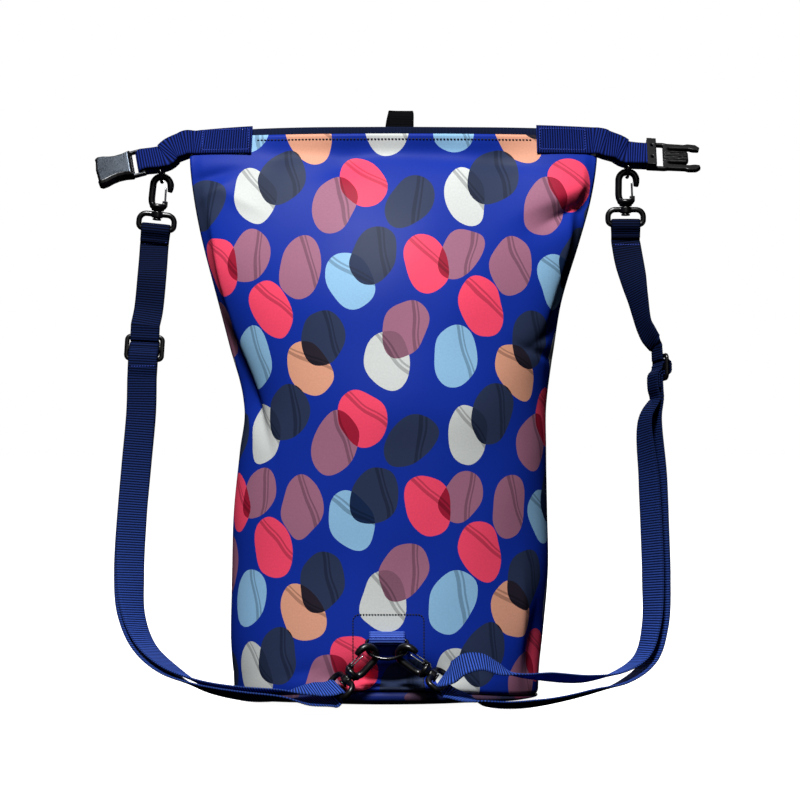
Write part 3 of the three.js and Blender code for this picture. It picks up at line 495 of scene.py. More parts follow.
@lru_cache(maxsize=None)
def section(z):
    """Middle, half width, half depth, roundness and lean of the bag at a height."""
    _, left, right, rounding, tight, lean_left, lean_right = smooth_row(SECTIONS, z)
    half = (left + right) / 2
    bow = np.maximum(np.sin(TURN), 0) ** (2 * rounding)
    low, high = 2.0, 140.0
    for _ in range(40):
        depth = (low + high) / 2
        girth = 2 * np.hypot(np.diff(half * np.cos(TURN)), np.diff(depth * bow)).sum()
        low, high = (depth, high) if girth < GIRTH * tight else (low, depth)
    return (right - left) / 2, half, max(low, 9.0), rounding, lean_left, lean_right


def lean(z, x):
    """How far the mouth leans back, more towards its ends."""
    middle, half, _, _, left, right = section(z)
    side = (x - middle) / half
    return np.where(side < 0, left, right) * side * side


def smoothstep(t):
    t = np.clip(t, 0, 1)
    return t * t * (3 - 2 * t)


def welded_ends(z):
    return WALL + (SEAM_WELD - WALL) * float(smoothstep((z - WELD_FROM_Z) / (MOUTH_Z - WELD_FROM_Z)))


print("half depth at the waist:", round(section(245)[2], 1), "mm")

# %% [markdown]
# ## Dents and creases
# Cloth that has been rolled keeps soft dents, and sharp creases where it buckled. A dent is a smooth
# bowl pressed straight in. A crease has a sharp line with its own slope on each side, and moves the
# cloth along its normal. Simulated cloth would crease too, but in other places than this bag does.

# %% Tables of dents and creases
DENTS = [
    # side, x, z, turn from level, half length, half width, depth
    (-1, -152, 432, 8, 34, 9, 4),
    (-1, 150, 408, 28, 30, 11, 7),
    (0, -124, 245, 88, 34, 16, 5),
    (0, 134, 290, 80, 32, 12, 4),
    (-1, 118, 42, 80, 34, 9, 4),
    (-1, -38, 446, 12, 26, 10, 2.5),
    (-1, 70, 452, -6, 42, 8, 2.5),
    (1, -90, 300, 50, 55, 20, 5),
    (1, 85, 250, -48, 55, 20, 5),
]
CREASES = [
    # side, x, z, turn from level, half length, width below, width above, depth
    (-1, 0, 27, 0, 36, 19, 10, 21),
    (-1, 146, 421, 26, 30, 6, 20, -4.4),
    (-1, 153, 410, 30, 26, 12, 4, 5.2),
    (-1, 144, 378, 74, 52, 5, 30, -9),
    (-1, -139, 362, 103, 52, 30, 5, -8),
    (-1, 128, 306, 86, 40, 8, 24, -4),
    (-1, -117, 262, 110, 38, 4, 8, 7),
    (-1, -126, 260, 108, 34, 6, 6, -3.6),
    (-1, -136, 296, 116, 24, 6, 6, 3),
    (-1, 108, 66, 88, 36, 6, 9, -3.2),
    (-1, 118, 50, 82, 28, 5, 6, 3.4),
    (-1, 128, 303, 35, 15, 4, 5, 2.6),
    (-1, 120, 289, -20, 16, 4, 4, 2.4),
    (-1, 133, 320, 62, 14, 4, 4, 2.4),
    (-1, -150, 437, 14, 22, 7, 5, 2.8),
    (-1, -146, 424, 30, 20, 6, 10, -2.6),
    (-1, -122, 414, -28, 18, 6, 9, -2.0),
    (-1, -96, 451, 20, 14, 12, 12, 1.2),
    (-1, -38, 446, 24, 14, 11, 12, 1.2),
    (-1, 90, 452, -12, 16, 11, 12, 1.2),
    (-1, 92, 447, -2, 60, 9, 4, 1.1),
    (-1, -70, 30, 20, 16, 6, 8, 1.4),
    (-1, 62, 34, -16, 18, 6, 8, 1.6),
    (1, 120, 300, 35, 18, 5, 6, 2.0),
    (1, -118, 262, 100, 26, 7, 7, 2.6),
    (1, -60, 440, 12, 30, 6, 9, 1.4),
    (1, 64, 430, -18, 34, 7, 9, 1.6),
    (1, 105, 60, 84, 30, 7, 8, 2.0),
]


def along_across(x, z, x0, z0, turn):
    turn = math.radians(turn)
    dx, dz = x - x0, z - z0
    return dx * math.cos(turn) + dz * math.sin(turn), dz * math.cos(turn) - dx * math.sin(turn)


def dented(x, z, side):
    """Depth of the soft dents, straight in."""
    depth = np.zeros_like(x)
    for own, x0, z0, turn, long, wide, deep in DENTS:
        if own in (0, side):
            along, across = along_across(x, z, x0, z0, turn)
            depth += deep * np.exp(-((along / long) ** 2) - (across / wide) ** 2)
    return depth


def creased(x, z, side):
    """Depth of the creases and of the slow waves of the cloth, along its normal."""
    depth = 0.35 * np.sin(x / 23 + 1.3 * side) * np.sin(z / 31 + 0.6)
    depth += 0.25 * np.sin(x / 11 - z / 17)
    for own, x0, z0, turn, long, below, above, deep in CREASES:
        if own == side:
            along, across = along_across(x, z, x0, z0, turn)
            slope = np.abs(across) / np.where(across > 0, above, below)
            depth += deep * np.exp(-((along / long) ** 2)) * np.exp(-(slope**1.4))
    return depth


def half_ring(z, height, inset, ends, side, count):
    """Evenly spaced points along the front (-1) or back (1) of the bag at one level."""
    middle, half, deep, rounding, _, _ = section(z)
    t = -np.cos(TURN)
    x = middle + (half - ends) * t
    bow = (deep - inset) * np.maximum(1 - t * t, 0) ** rounding
    y = np.maximum(bow - dented(x, np.full_like(x, z), side) * np.minimum(1, bow / 20), 0)
    level = height(t) if callable(height) else np.full_like(x, height)
    points = np.stack([x, lean(z, x) + side * y, level], -1)
    length = lengths(points)
    want = np.linspace(0, length[-1], count)
    spaced = np.stack([np.interp(want, length, points[:, axis]) for axis in range(3)], -1)
    return spaced, want - length[-1] / 2


def seam_height(t):
    """Base seam: near the ground at the sides, lifted at the front and back."""
    return SEAM_SIDE + (SEAM_FRONT - SEAM_SIDE) * (1 - t * t)


print("dents", len(DENTS), "creases", len(CREASES))

# %% [markdown]
# ## Front and back of the bag
# Each side of the bag is one panel with an outer and an inner face. The rows start at the base seam,
# where the cloth turns under, and end at the cut edge of the mouth. The creases fade out at the seams,
# because the weld holds the cloth there. One tube could make both sides, but real panels meet in a
# seam.

# %% Wall panels
WALL_COLUMNS = 168
WALL_ROWS = 196
FOOT_TURN = [(2.4, 0.0), (1.2, 1.0), (0.5, 2.4), (0.2, 4.0)]
FOOT_ROWS = [22, 24]
FIRST_ROW = 26
SIDE_GAP = 0.2
HELD_COLUMNS = 5
HELD_FOOT = 2
FOOT_FADE = 5
HEM_FADE = 10


def panel_rows(side, inset):
    """Rows of one face of a panel, and the flat place of each point."""
    levels = []
    for tuck, up in FOOT_TURN:
        seam = lambda t, up=up: seam_height(t) + up
        levels.append((BASE_Z, seam, tuck + inset, tuck + inset))
    for z in [*FOOT_ROWS, *np.linspace(FIRST_ROW, MOUTH_Z, WALL_ROWS)]:
        levels.append((z, z, inset, welded_ends(z) if inset else 0))
    found = [half_ring(*level, side, WALL_COLUMNS) for level in levels]
    rows = np.array([points for points, _ in found])
    return rows, np.stack([np.array([across for _, across in found]), rows[..., 2]], -1)


def grid_normals(rows, side):
    across = np.gradient(rows, axis=1)
    up = np.gradient(rows, axis=0)
    normal = unit(np.cross(across, up))
    return normal * np.sign((normal[..., 1] * side).mean())


def wall_panel(name, side, material, node):
    """One panel of the wall, front (-1) or back (1)."""
    outer, flat = panel_rows(side, 0)
    inner, _ = panel_rows(side, WALL)
    hold = np.minimum(1, np.arange(WALL_COLUMNS) / HELD_COLUMNS)
    hold = hold * hold[::-1]
    low = smoothstep((outer[..., 2] - SEAM_FRONT - HELD_FOOT) / FOOT_FADE)
    edge = smoothstep((MOUTH_Z - outer[..., 2]) / HEM_FADE)
    depth = creased(outer[..., 0], outer[..., 2], side) * hold * low * edge
    for face in (outer, inner):
        face -= grid_normals(face, side) * depth[..., None]
        face[:, 0, 1] += side * SIDE_GAP
        face[:, -1, 1] += side * SIDE_GAP
    count, wide = outer.shape[:2]
    points = np.concatenate([outer.reshape(-1, 3), inner.reshape(-1, 3)])
    faces, corners = grid(outer, flat)
    back, back_corners = grid(inner, flat, start=count * wide)
    faces += [face[::-1] for face in back]
    for i in range(0, len(back_corners), 4):
        corners.extend(back_corners[i:i + 4][::-1])
    rim = list(range(wide))
    rim += [i * wide + wide - 1 for i in range(1, count)]
    rim += [(count - 1) * wide + k for k in range(wide - 2, -1, -1)]
    rim += [i * wide for i in range(count - 2, 0, -1)]
    places = flat.reshape(-1, 2)
    for a, b in zip(rim, rim[1:] + rim[:1]):
        faces.append((b, a, a + count * wide, b + count * wide))
        corners.extend((places[b], places[a], places[a], places[b]))
    mesh = mesh_of(name, points, faces, corners)
    if side > 0:
        mesh.flip_normals()
    return new_piece(name, mesh, material, node=node)


front_wall = wall_panel("bag_front", -1, FRONT_CLOTH, "front_panel")
back_wall = wall_panel("bag_back", 1, BACK_CLOTH, "back_panel")
print("front panel has", len(front_wall.data.polygons), "faces")

# %% [markdown]
# ## Base panel
# The base is an oval of the same cloth, sewn on as a shallow dish: flat where it stands on the ground
# and turned up to the seam all round, in a roll. Rings of points from the middle outwards make it, and
# its inner face follows at the thickness of the cloth. A squashed sphere would do from afar, but has no
# seam to meet.

# %% Base panel
FLAT_ACROSS = 100
FLAT_DEEP = 47
SEAM_GAP = 0.4
ROLL_DEEP = 7
BASE_COLUMNS = 101
ROLL_TURNS = np.radians(np.linspace(-75, 62, 13))


def base_rows(thick):
    """Rings of the dish from the flat oval over the roll to the seam, or of its inner face."""
    _, half, deep = section(BASE_Z)[:3]
    # inset at the front, inset at the ends, share of the seam's height, thickness inwards and upwards
    profile = [
        (deep - FLAT_DEEP, half - FLAT_ACROSS, 0, 0, 1),
        (15, 15, 0.3, 0.2, 1),
        (10, 10, 0.37, 0.3, 0.9),
    ]
    for t in ROLL_TURNS:
        inset = ROLL_DEEP * (1 - math.cos(t)) + 0.6
        rise = 0.7 + 0.34 * math.sin(t)
        profile.append((inset, inset, rise, 0.9 * math.cos(t), -0.75 * math.sin(t)))
    rings = []
    for inset, ends, rise, inwards, upwards in profile:
        lift = upwards * thick
        level = lambda t, rise=rise, lift=lift: np.maximum(rise * (seam_height(t) - SEAM_GAP) + lift, 0)
        place = (inset + inwards * thick, ends + inwards * thick)
        front = half_ring(BASE_Z, level, *place, -1, BASE_COLUMNS)[0][:-1]
        back = half_ring(BASE_Z, level, *place, 1, BASE_COLUMNS)[0][::-1][:-1]
        rings.append(np.concatenate([front, back]))
    return rings


def base_panel():
    under = base_rows(0)
    over = base_rows(WALL)[::-1]
    rings = np.array(under + over)
    flat = np.concatenate([rings, rings[:, :1]], axis=1)[..., :2]
    flat = np.concatenate([flat, flat[-1:]])
    mesh = tube_mesh("base", rings, flat)
    mesh.flip_normals()
    return new_piece("base", mesh, BASE_CLOTH, node="base_panel")


base = base_panel()
print("base panel has", len(base.data.polygons), "faces")

# %% [markdown]
# ## Webbing
# A strap is a flat band that follows a line and turns its face on the way. Its line is a list of
# stations, each a place and the direction across the band. The band is drawn through them with three
# rows to a rib, so the ribs are real, and its section is a thin bar with rounded edges. A curve with a
# bevel would be shorter, but it twists where it likes.

# %% Bands of webbing
WEB_THICK = 1.5
RIB_HEIGHT = 0.26
ROWS_TO_A_RIB = 3


def band_section():
    """Places round the band: share across, share up, and share of the rib's height."""
    face = np.linspace(-0.93, 0.93, 7)
    top = [(a, 1.0, 1.0 - 0.6 * abs(a) ** 6) for a in face]
    edge = [(0.985, 0.62, 0.3), (1.0, 0.0, 0.1), (0.985, -0.62, -0.3)]
    bottom = [(a, -1.0, -(1.0 - 0.6 * abs(a) ** 6)) for a in face[::-1]]
    return np.array(top + edge + bottom + [(-a, -b, -r) for a, b, r in edge])


def resample(places, values, step):
    """Smooth line through places at an even step, with values carried along it."""
    length = lengths(places)
    keep = np.concatenate([[True], np.diff(length) > 1e-6])
    places, values, length = places[keep], values[keep], length[keep]
    want = np.linspace(0, length[-1], max(int(length[-1] / step), 8))
    slope = np.gradient(places, length, axis=0)
    i = np.clip(np.searchsorted(length, want) - 1, 0, len(length) - 2)
    span = (length[i + 1] - length[i])[:, None]
    t = (want - length[i])[:, None] / span
    smooth = hermite(places[i], places[i + 1], slope[i] * span, slope[i + 1] * span, t)
    carried = (1 - t) * values[i] + t * values[i + 1]
    return smooth, carried, want


def lay_webbing(name, stations, material, node, width=WEB_WIDTH, thick=WEB_THICK, pitch=RIB_PITCH):
    """Band of webbing through stations of (place, direction across)."""
    places = np.array([s[0] for s in stations], float)
    across = np.array([s[1] for s in stations], float)
    line, across, along = resample(places, across, pitch / ROWS_TO_A_RIB)
    forward = unit(np.gradient(line, axis=0))
    side = unit(across - (across * forward).sum(1, keepdims=True) * forward)
    up = np.cross(forward, side)
    rib = RIB_HEIGHT * np.cos(2 * np.pi * along / pitch)
    shape = band_section()
    rings = (line[:, None] + side[:, None] * (shape[:, 0] * width / 2)[None, :, None]
             + up[:, None] * (shape[:, 1] * thick / 2 + shape[:, 2] * rib[:, None])[..., None])
    place = np.concatenate([shape[:, 0], shape[:1, 0]]) * width / 2
    flat = np.stack(np.broadcast_arrays(place[None, :], along[:, None]), -1)
    flat = np.concatenate([flat, flat[-1:]])
    return new_piece(name, tube_mesh(name, rings, flat), material, node=node)


print("section of the webbing has", len(band_section()), "points")

# %% [markdown]
# ## Lines for the straps
# Loose webbing runs on a smooth curve through a few chosen places. A Catmull-Rom curve passes through
# them all, and its centripetal form makes no loops where places lie close together. Where webbing is
# laced round a bar, its line is a short table of steps along the strap and out of its face.

# %% Curves, laces and frames
def vec(*xyz):
    return np.array(xyz, float)


def through(points, share, centripetal):
    """Point at a share of a Catmull-Rom curve through points."""
    n = len(points)
    i = min(int((n - 1) * share), n - 2)
    t = (n - 1) * share - i
    p1, p2 = points[i], points[i + 1]
    p0 = points[i - 1] if i > 0 else 2 * p1 - p2
    p3 = points[i + 2] if i + 2 < n else 2 * p2 - p1
    if centripetal:
        steps = (p1 - p0, p2 - p1, p3 - p2)
        d0, d1, d2 = (max(np.linalg.norm(step) ** 0.5, 1e-4) for step in steps)
        s1 = d1 * ((p1 - p0) / d0 - (p2 - p0) / (d0 + d1) + (p2 - p1) / d1)
        s2 = d1 * ((p2 - p1) / d1 - (p3 - p1) / (d1 + d2) + (p3 - p2) / d2)
    else:
        s1, s2 = (p2 - p0) / 2, (p3 - p1) / 2
    return hermite(p1, p2, s1, s2, t)


def free_run(rows, steps):
    """Loose run through rows of (place, facing, gap): places, facings, directions across and gaps."""
    rows = np.array(rows, float)
    shares = np.linspace(0, 1, steps + 1)
    place = np.array([through(rows[:, :3], s, True) for s in shares])
    face = np.array([through(rows[:, 3:6], s, False) for s in shares])
    gap = np.array([through(rows[:, 6:], s, False)[0] for s in shares])
    forward = unit(np.gradient(place, axis=0))
    face = unit(face - (face * forward).sum(1, keepdims=True) * forward)
    return place, face, unit(np.cross(forward, face)), gap


def layer(run, share):
    """One layer of a doubled run, a share of the gap to one side."""
    place, face, across, gap = run
    return [(p + f * g * share, w) for p, f, w, g in zip(place, face, across, gap)]


def lace_frame(o, t, n):
    """Frame of a strap at o that runs along t and faces n."""
    t = unit(np.asarray(t, float))
    n = np.asarray(n, float)
    n = unit(n - n.dot(t) * t)
    return {"o": np.asarray(o, float), "t": t, "n": n, "w": np.cross(t, n)}


def lace(strap, rows):
    """Stations at steps along a strap's frame and out of its face."""
    return [(strap["o"] + strap["t"] * s + strap["n"] * out, strap["w"]) for s, out in rows]


def half_turn(strap, radius, share=0.5):
    """Half turn of webbing round a bar, or a smaller share of a whole turn."""
    bend = np.linspace(-0.5, 2 * share - 0.5, 11) * np.pi
    return lace(strap, [(radius * math.cos(t), radius * math.sin(t)) for t in bend])


def run_row(place, facing, gap):
    return (*place, *facing, gap)


print("curve helpers are ready")

# %% [markdown]
# ## Rods and moulded pieces
# Rings, hooks and gates are rods bent along a line. Where a fitting joins several forms, such as a
# hook's arm, collar and ear, the forms are merged by a voxel remesh and smoothed a little, which leaves
# the small fillets that a moulded piece has. Booleans would join them too, but leave sharp corners.

# %% Rods, turned forms and moulding
def turns(sides):
    return np.linspace(0, 2 * np.pi, sides, endpoint=False)


def rod(path, radius, sides=18, loop=False, across=(0, 1, 0), flat=1.0):
    """Rings round a path that lies square to a direction."""
    path = np.asarray(path, float)
    ahead = np.roll(path, -1, 0) - np.roll(path, 1, 0) if loop else np.gradient(path, axis=0)
    across = unit(np.asarray(across, float))
    side = unit(np.cross(unit(ahead), across))
    turn = turns(sides)
    size = np.broadcast_to(np.asarray(radius, float), len(path))
    return (path[:, None] + side[:, None] * (size[:, None] * np.cos(turn))[..., None]
            + across * (size[:, None] * flat * np.sin(turn))[..., None])


def arc(cx, cz, radius, start, end, steps, radius_z=None):
    """Points of an arc in the x and z plane."""
    turn = np.radians(np.linspace(start, end, steps + 1))
    tall = radius if radius_z is None else radius_z
    return np.stack([cx + radius * np.cos(turn), np.zeros_like(turn), cz + tall * np.sin(turn)], -1)


def turned(profile, sides=28):
    """Rings of a form turned round the z axis from (radius, height) pairs."""
    return np.array([[(r * math.cos(t), r * math.sin(t), z) for t in turns(sides)] for r, z in profile])


def block(size, centre):
    """Rings of a plain block."""
    x, y, z = np.array(size) / 2
    corners = [(-x, -y), (x, -y), (x, y), (-x, y)]
    return np.array([[(a, b, c) for a, b in corners] for c in (-z, z)]) + np.array(centre)


def settled(rings, place):
    """Rings moved from a fitting's own axes to its place: origin and three directions."""
    o, x, y, z = place
    return o + rings[..., :1] * x + rings[..., 1:2] * y + rings[..., 2:3] * z


def moulded(name, meshes, voxel, rounds):
    """Merges closed meshes into one moulded form with small fillets."""
    points = []
    faces = []
    for mesh in meshes:
        base = len(points)
        points.extend(v.co[:] for v in mesh.vertices)
        faces.extend(tuple(base + i for i in face.vertices) for face in mesh.polygons)
    raw = bpy.data.meshes.new(name + "_raw")
    raw.from_pydata(points, [], faces)
    rough = bpy.data.objects.new(name + "_raw", raw)
    bpy.context.scene.collection.objects.link(rough)
    remesh = rough.modifiers.new("merge", "REMESH")
    remesh.mode = "VOXEL"
    remesh.voxel_size = voxel * MM
    relax = rough.modifiers.new("fillet", "SMOOTH")
    relax.factor = 0.5
    relax.iterations = rounds
    ready = rough.evaluated_get(bpy.context.evaluated_depsgraph_get())
    mesh = bpy.data.meshes.new_from_object(ready)
    bpy.data.objects.remove(rough)
    mesh.name = name
    return mesh


def fitting(node, forms, place, voxel, rounds, looped=False, solids=()):
    """Plastic fitting moulded from forms in its own axes; where looped, its first form is a closed rod."""
    parts = list(solids)
    for i, form in enumerate(forms):
        parts.append(tube_mesh("form", settled(form, place), loop=looped and i == 0))
    mesh = moulded(node, parts, voxel, rounds)
    return new_piece(node + "_moulded", mesh, PLASTIC, node=node)


print("moulding helpers are ready")

# %% [markdown]
# ## D-rings
# A D-ring has a straight bar that webbing holds and a round side that a hook rides on. Two hang between
# the layers of the roll-top webbing and one stands out at the foot of the front. Each is one rod bent
# along a line, which could be cut from a plate, but real ones are moulded round.

# %% Rings
RING_HALF = 16.5
RING_SIDE = 7
RING_ROUND = 13
RING_ROD = 1.6
RING_THIN = 1.4
FOOT_X = -2
FOOT_Z = 57
FOOT_OUT = 5


def wall_y(x, z, side, inset=0):
    """Depth of the wall at a place, its outer face or a little inside it."""
    middle, half, deep, rounding, _, _ = section(z)
    t = min(abs(x - middle) / half, 1)
    bow = (deep - inset) * (1 - t * t) ** rounding
    dent = dented(np.array([float(x)]), np.array([float(z)]), side)[0] * min(1, bow / 20)
    return float(lean(z, x)) + side * max(bow - dent, 0.2)


foot_bar = vec(FOOT_X, wall_y(FOOT_X, FOOT_Z, -1) - FOOT_OUT, FOOT_Z)
RINGS = {
    "ring_left": {"o": vec(-193, 11.2, 453.4), "bar": vec(0, 0.64, 0.77), "down": vec(0, 0.77, -0.64)},
    "ring_right": {"o": vec(200.5, 10, 457.4), "bar": vec(0, 0.6, 0.8), "down": vec(0, 0.8, -0.6)},
    "ring_bottom": {"o": foot_bar, "bar": vec(1, 0, 0), "down": vec(0, -0.75, -0.66)},
}


def d_ring_path():
    corner = [(3, 0), (1.4, -0.15), (0.5, -0.8), (0.1, -2.2)]
    right = [vec(RING_HALF - short, 0, z) for short, z in corner]
    left = [vec(-x, y, z) for x, y, z in right[::-1]]
    bend = arc(0, -RING_SIDE, RING_HALF, 0, -180, 40, RING_ROUND)
    bar = [vec(x, 0, 0) for x in (-9, 0, 9)]
    return np.array(bar + right + list(bend) + left)


for name, ring in RINGS.items():
    up = -unit(ring["down"])
    bar = unit(ring["bar"])
    place = (ring["o"], bar, np.cross(up, bar), up)
    rings = settled(rod(d_ring_path(), RING_THIN, 16, True), place)
    new_piece(name + "_rod", tube_mesh(name, rings, loop=True), GLOSSY_PLASTIC, node=name)
print("rings:", ", ".join(RINGS))

# %% [markdown]
# ## Swivel hooks
# Each hook is three pieces: the hook with its stem and collar, the eye that the strap goes through, and
# a sprung wire gate that closes the hook. The gate is a piece of its own because it swings. A hook's
# axes come from the ring that it hangs on, so it could be moved along the ring by one number.

# %% Places of the hooks
EYE_HALF = 14.9
EYE_TOP = -2.4
EYE_BOTTOM = -15
EYE_ROD = 2.4
HOOK_OPEN_TOP = 27.2
HOOK_ROD = 2.6
HOOK_SEAT = 25
HOOK_OFF = 1.2
HOOK_BEND = 4.8
GATE_WIRE = 0.6
GATE_HALF = 2.5
GATE_TOP = 12.6
GATE_PIVOT = vec(5.6, 0, 7.6)
HOOKS = {
    # ring, turn on the ring, axis, side of the gate, facing of the strap, turn about the axis
    "top_left": ("ring_left", -54, vec(0.1, 0, 1), vec(1, 0, 0), vec(0, -1, 0), 0),
    "top_right": ("ring_right", -53, vec(0, 0, 1), vec(1, 0, 0), vec(0, -1, 0), 0),
    "bottom_left": (
        "ring_bottom", -57, vec(0.69, 0.08, 0.72), vec(-0.5, -0.6, 0.5), vec(-0.6, -0.55, 0.7), -34,
    ),
    "bottom_right": (
        "ring_bottom", 57, vec(-0.81, 0.08, 0.58), vec(0.5, -0.6, 0.5), vec(0.6, -0.4, 0.75), 26,
    ),
}


def hook_place(ring, degrees, axis, gate_side, strap_face, about):
    """Axes of a hook that hangs on a ring, and of the eye at its stem."""
    ring = RINGS[ring]
    turn = math.radians(degrees)
    bar, down = ring["bar"], ring["down"]
    seat = ring["o"] + bar * RING_HALF * math.sin(turn) + down * (RING_SIDE + RING_ROUND * math.cos(turn))
    run = unit(bar * RING_HALF * math.cos(turn) - down * RING_ROUND * math.sin(turn))
    a = unit(axis)
    y = unit(run - run.dot(a) * a)
    x = np.cross(y, a)
    if x.dot(gate_side) < 0:
        x, y = -x, -y
    twist = math.radians(about)
    x, y = x * math.cos(twist) + y * math.sin(twist), y * math.cos(twist) - x * math.sin(twist)
    o = seat - a * HOOK_SEAT - x * HOOK_OFF
    n = unit(strap_face - strap_face.dot(a) * a)
    axes = {"hook": (o, x, y, a), "eye": (o, np.cross(a, n), -n, a)}
    return {**axes, "bar": o + a * EYE_BOTTOM, "a": a, "n": n}


hooks = {name: hook_place(*row) for name, row in HOOKS.items()}
print("hooks hang on", ", ".join(row[0] for row in HOOKS.values()))

# %% Hooks, eyes and gates
def hook_forms():
    """Arm, collar with stem, and ear of a hook."""
    centre = HOOK_OPEN_TOP - HOOK_BEND
    bend = HOOK_BEND + HOOK_ROD
    start = [(-3.0, 3.6), (-4.6, 5.4), (-5.6, 7.6), (-6.0, 10.4), (-6.0, 14), (-5.95, 18)]
    nose = [(8.95, centre - 2), (8.85, centre - 3.6), (8.5, centre - 5.4)]
    path = [vec(x, 0, z) for x, z in start] + list(arc(1.5, centre, bend, 180, 0, 24))
    path = np.array(path + [vec(x, 0, z) for x, z in nose])
    share = np.linspace(0, 1, len(path))
    size = 2.9 - 0.9 * (np.maximum(share - 0.88, 0) / 0.12) ** 2
    stem = [(0.01, -7.6), (3.4, -7.6), (3.8, -7.2), (3.8, -6.2), (2.6, -5.9), (2.6, 0.4)]
    collar = [(5.0, 0.4), (5.3, 0.8), (5.3, 1.9), (6.5, 2.5), (7.1, 3.6), (7.2, 4.6), (6.4, 6.1)]
    collar += [(5.6, 6.4), (0.01, 6.4)]
    return [rod(path, size, 20, flat=1.2), turned(stem + collar), block((4.4, 3.2, 5), (5.6, 0, 6.8))]


def eye_forms():
    """Rounded loop for the strap, and the boss round the stem."""
    low = EYE_HALF - 4
    high = EYE_HALF - 6
    path = list(arc(low, EYE_BOTTOM + 4, 4, -90, 0, 8)) + list(arc(high, EYE_TOP - 6, 6, 0, 90, 10))
    path += list(arc(-high, EYE_TOP - 6, 6, 90, 180, 10)) + list(arc(-low, EYE_BOTTOM + 4, 4, 180, 270, 8))
    boss = [(0.01, -5.5), (4.2, -5.5), (4.6, -5.1), (4.6, -0.4), (4.2, 0), (0.01, 0)]
    return [rod(path, EYE_ROD, 18, True), turned(boss)]


def gate_path():
    leg = [(0.25, 0), (0.7, 0.1), (0.93, 0.45), (1, 1.1), (1, 4), (1, 8)]
    leg += [(1, GATE_TOP - 1.1), (0.93, GATE_TOP - 0.45), (0.7, GATE_TOP - 0.1), (0.25, GATE_TOP)]
    right = [vec(-0.5 * z / GATE_TOP, y * GATE_HALF, z) for y, z in leg]
    left = [vec(p[0], -p[1], p[2]) for p in right[::-1]]
    return np.array(right + left) + GATE_PIVOT


for name, hook in hooks.items():
    fitting("hook_" + name, hook_forms(), hook["hook"], 0.4, 5)
    fitting("eye_" + name, eye_forms(), hook["eye"], 0.4, 5, looped=True)
    wire = settled(rod(gate_path(), GATE_WIRE, 12, True, (1, 0, 0)), hook["hook"])
    mesh = tube_mesh("gate_" + name, wire, loop=True)
    new_piece(f"gate_{name}_wire", mesh, STEEL, "wire_gate_" + name, "gate_" + name)
print("hooks:", ", ".join(hooks))

# %% [markdown]
# ## Strap adjusters
# An adjuster is a flat moulded frame with a bar across its middle. The running strap passes under the
# bar, and the strap's sewn end holds on to it. A rod bent to a rounded rectangle gives the frame its
# soft edges, and a block between its sides is the bar. A plate with two slots would be simpler, but
# looks stamped.

# %% Adjusters
GLIDE_HALF = 16.8
GLIDE_LENGTH = 23
GLIDE_THICK = 3.4
GLIDE_RIM = 2.05
GLIDES = {
    "left": lace_frame((-205, -11, 293), (-0.05, -0.12, -1), (0, -1, 0.1)),
    "right": lace_frame((225, -20, 276), (0, -0.1, -1), (-1, -0.25, 0)),
}


def rounded_box(half_x, half_y, corner, steps=6):
    """Closed path of a rounded rectangle in the x and y plane."""
    points = []
    for quarter, (sx, sy) in enumerate(((1, 1), (-1, 1), (-1, -1), (1, -1))):
        turn = np.linspace(0, np.pi / 2, steps + 1) + quarter * np.pi / 2
        cx, cy = sx * (half_x - corner), sy * (half_y - corner)
        points += [vec(cx + corner * math.cos(t), cy + corner * math.sin(t), 0) for t in turn]
    return np.array(points)


def glide_forms():
    rim = rounded_box(GLIDE_HALF - GLIDE_RIM, GLIDE_LENGTH / 2 - GLIDE_RIM, 3.2)
    frame_rod = rod(rim, GLIDE_RIM, 16, True, (0, 0, 1), GLIDE_THICK / 2 / GLIDE_RIM)
    middle = block((2 * GLIDE_HALF - 3, 4.2, GLIDE_THICK - 0.5), (0, 0, 0))
    ribs = [block((20, 0.7, GLIDE_THICK + 0.1), (0, y, 0)) for y in (-1.2, 0, 1.2)]
    return [frame_rod, middle] + ribs


for side, glide in GLIDES.items():
    axes = (glide["o"], glide["w"], glide["t"], np.cross(glide["w"], glide["t"]))
    fitting("triglide_" + side, glide_forms(), axes, 0.4, 4, looped=True)
print("adjusters:", ", ".join(GLIDES))

# %% [markdown]
# ## Shoulder straps
# Each strap is one length of webbing: sewn over the eye of the upper hook, down through the adjuster,
# round the eye of the lower hook and back up to the adjuster's middle bar. The loose part hangs double,
# so its two layers follow one table with a gap between them. A simulation could drop the straps, but
# they would lie in another way than these do.

# %% Laces through an adjuster
def mirrored(rows):
    return [(-s, n) for s, n in rows[::-1]]


RUN_DIP = [(-8.4, 2.85), (-7, 2.75), (-6.1, 1.9), (-5.9, 0.4), (-5.8, -1.6), (-5.2, -3.6), (-3.4, -4.75)]
GLIDE_RUNNING = [(-19, 3.6), (-15, 3.1), (-11.4, 2.9)] + RUN_DIP + [(0, -4.9)] + mirrored(RUN_DIP)
GLIDE_RUNNING += [(12, 2.85), (18, 2.6)]
SEWN_UNDER = [(-3.9, 0), (-3.5, -1.8), (-2.1, -2.9)]
GLIDE_SEWN = [(24, 5.2), (18, 6.7), (10, 7.2), (7, 7.1), (4.2, 6.1), (2, 4)]
GLIDE_SEWN += [(0, 3.1), (-2.1, 2.9), (-3.5, 1.8)] + SEWN_UNDER + [(0, -3)] + mirrored(SEWN_UNDER)
GLIDE_SEWN += [(4, 2.1), (4.9, 4.1), (7, 5.2), (10, 5.3), (17, 4.8)]
print("steps through an adjuster:", len(GLIDE_RUNNING), "and", len(GLIDE_SEWN))

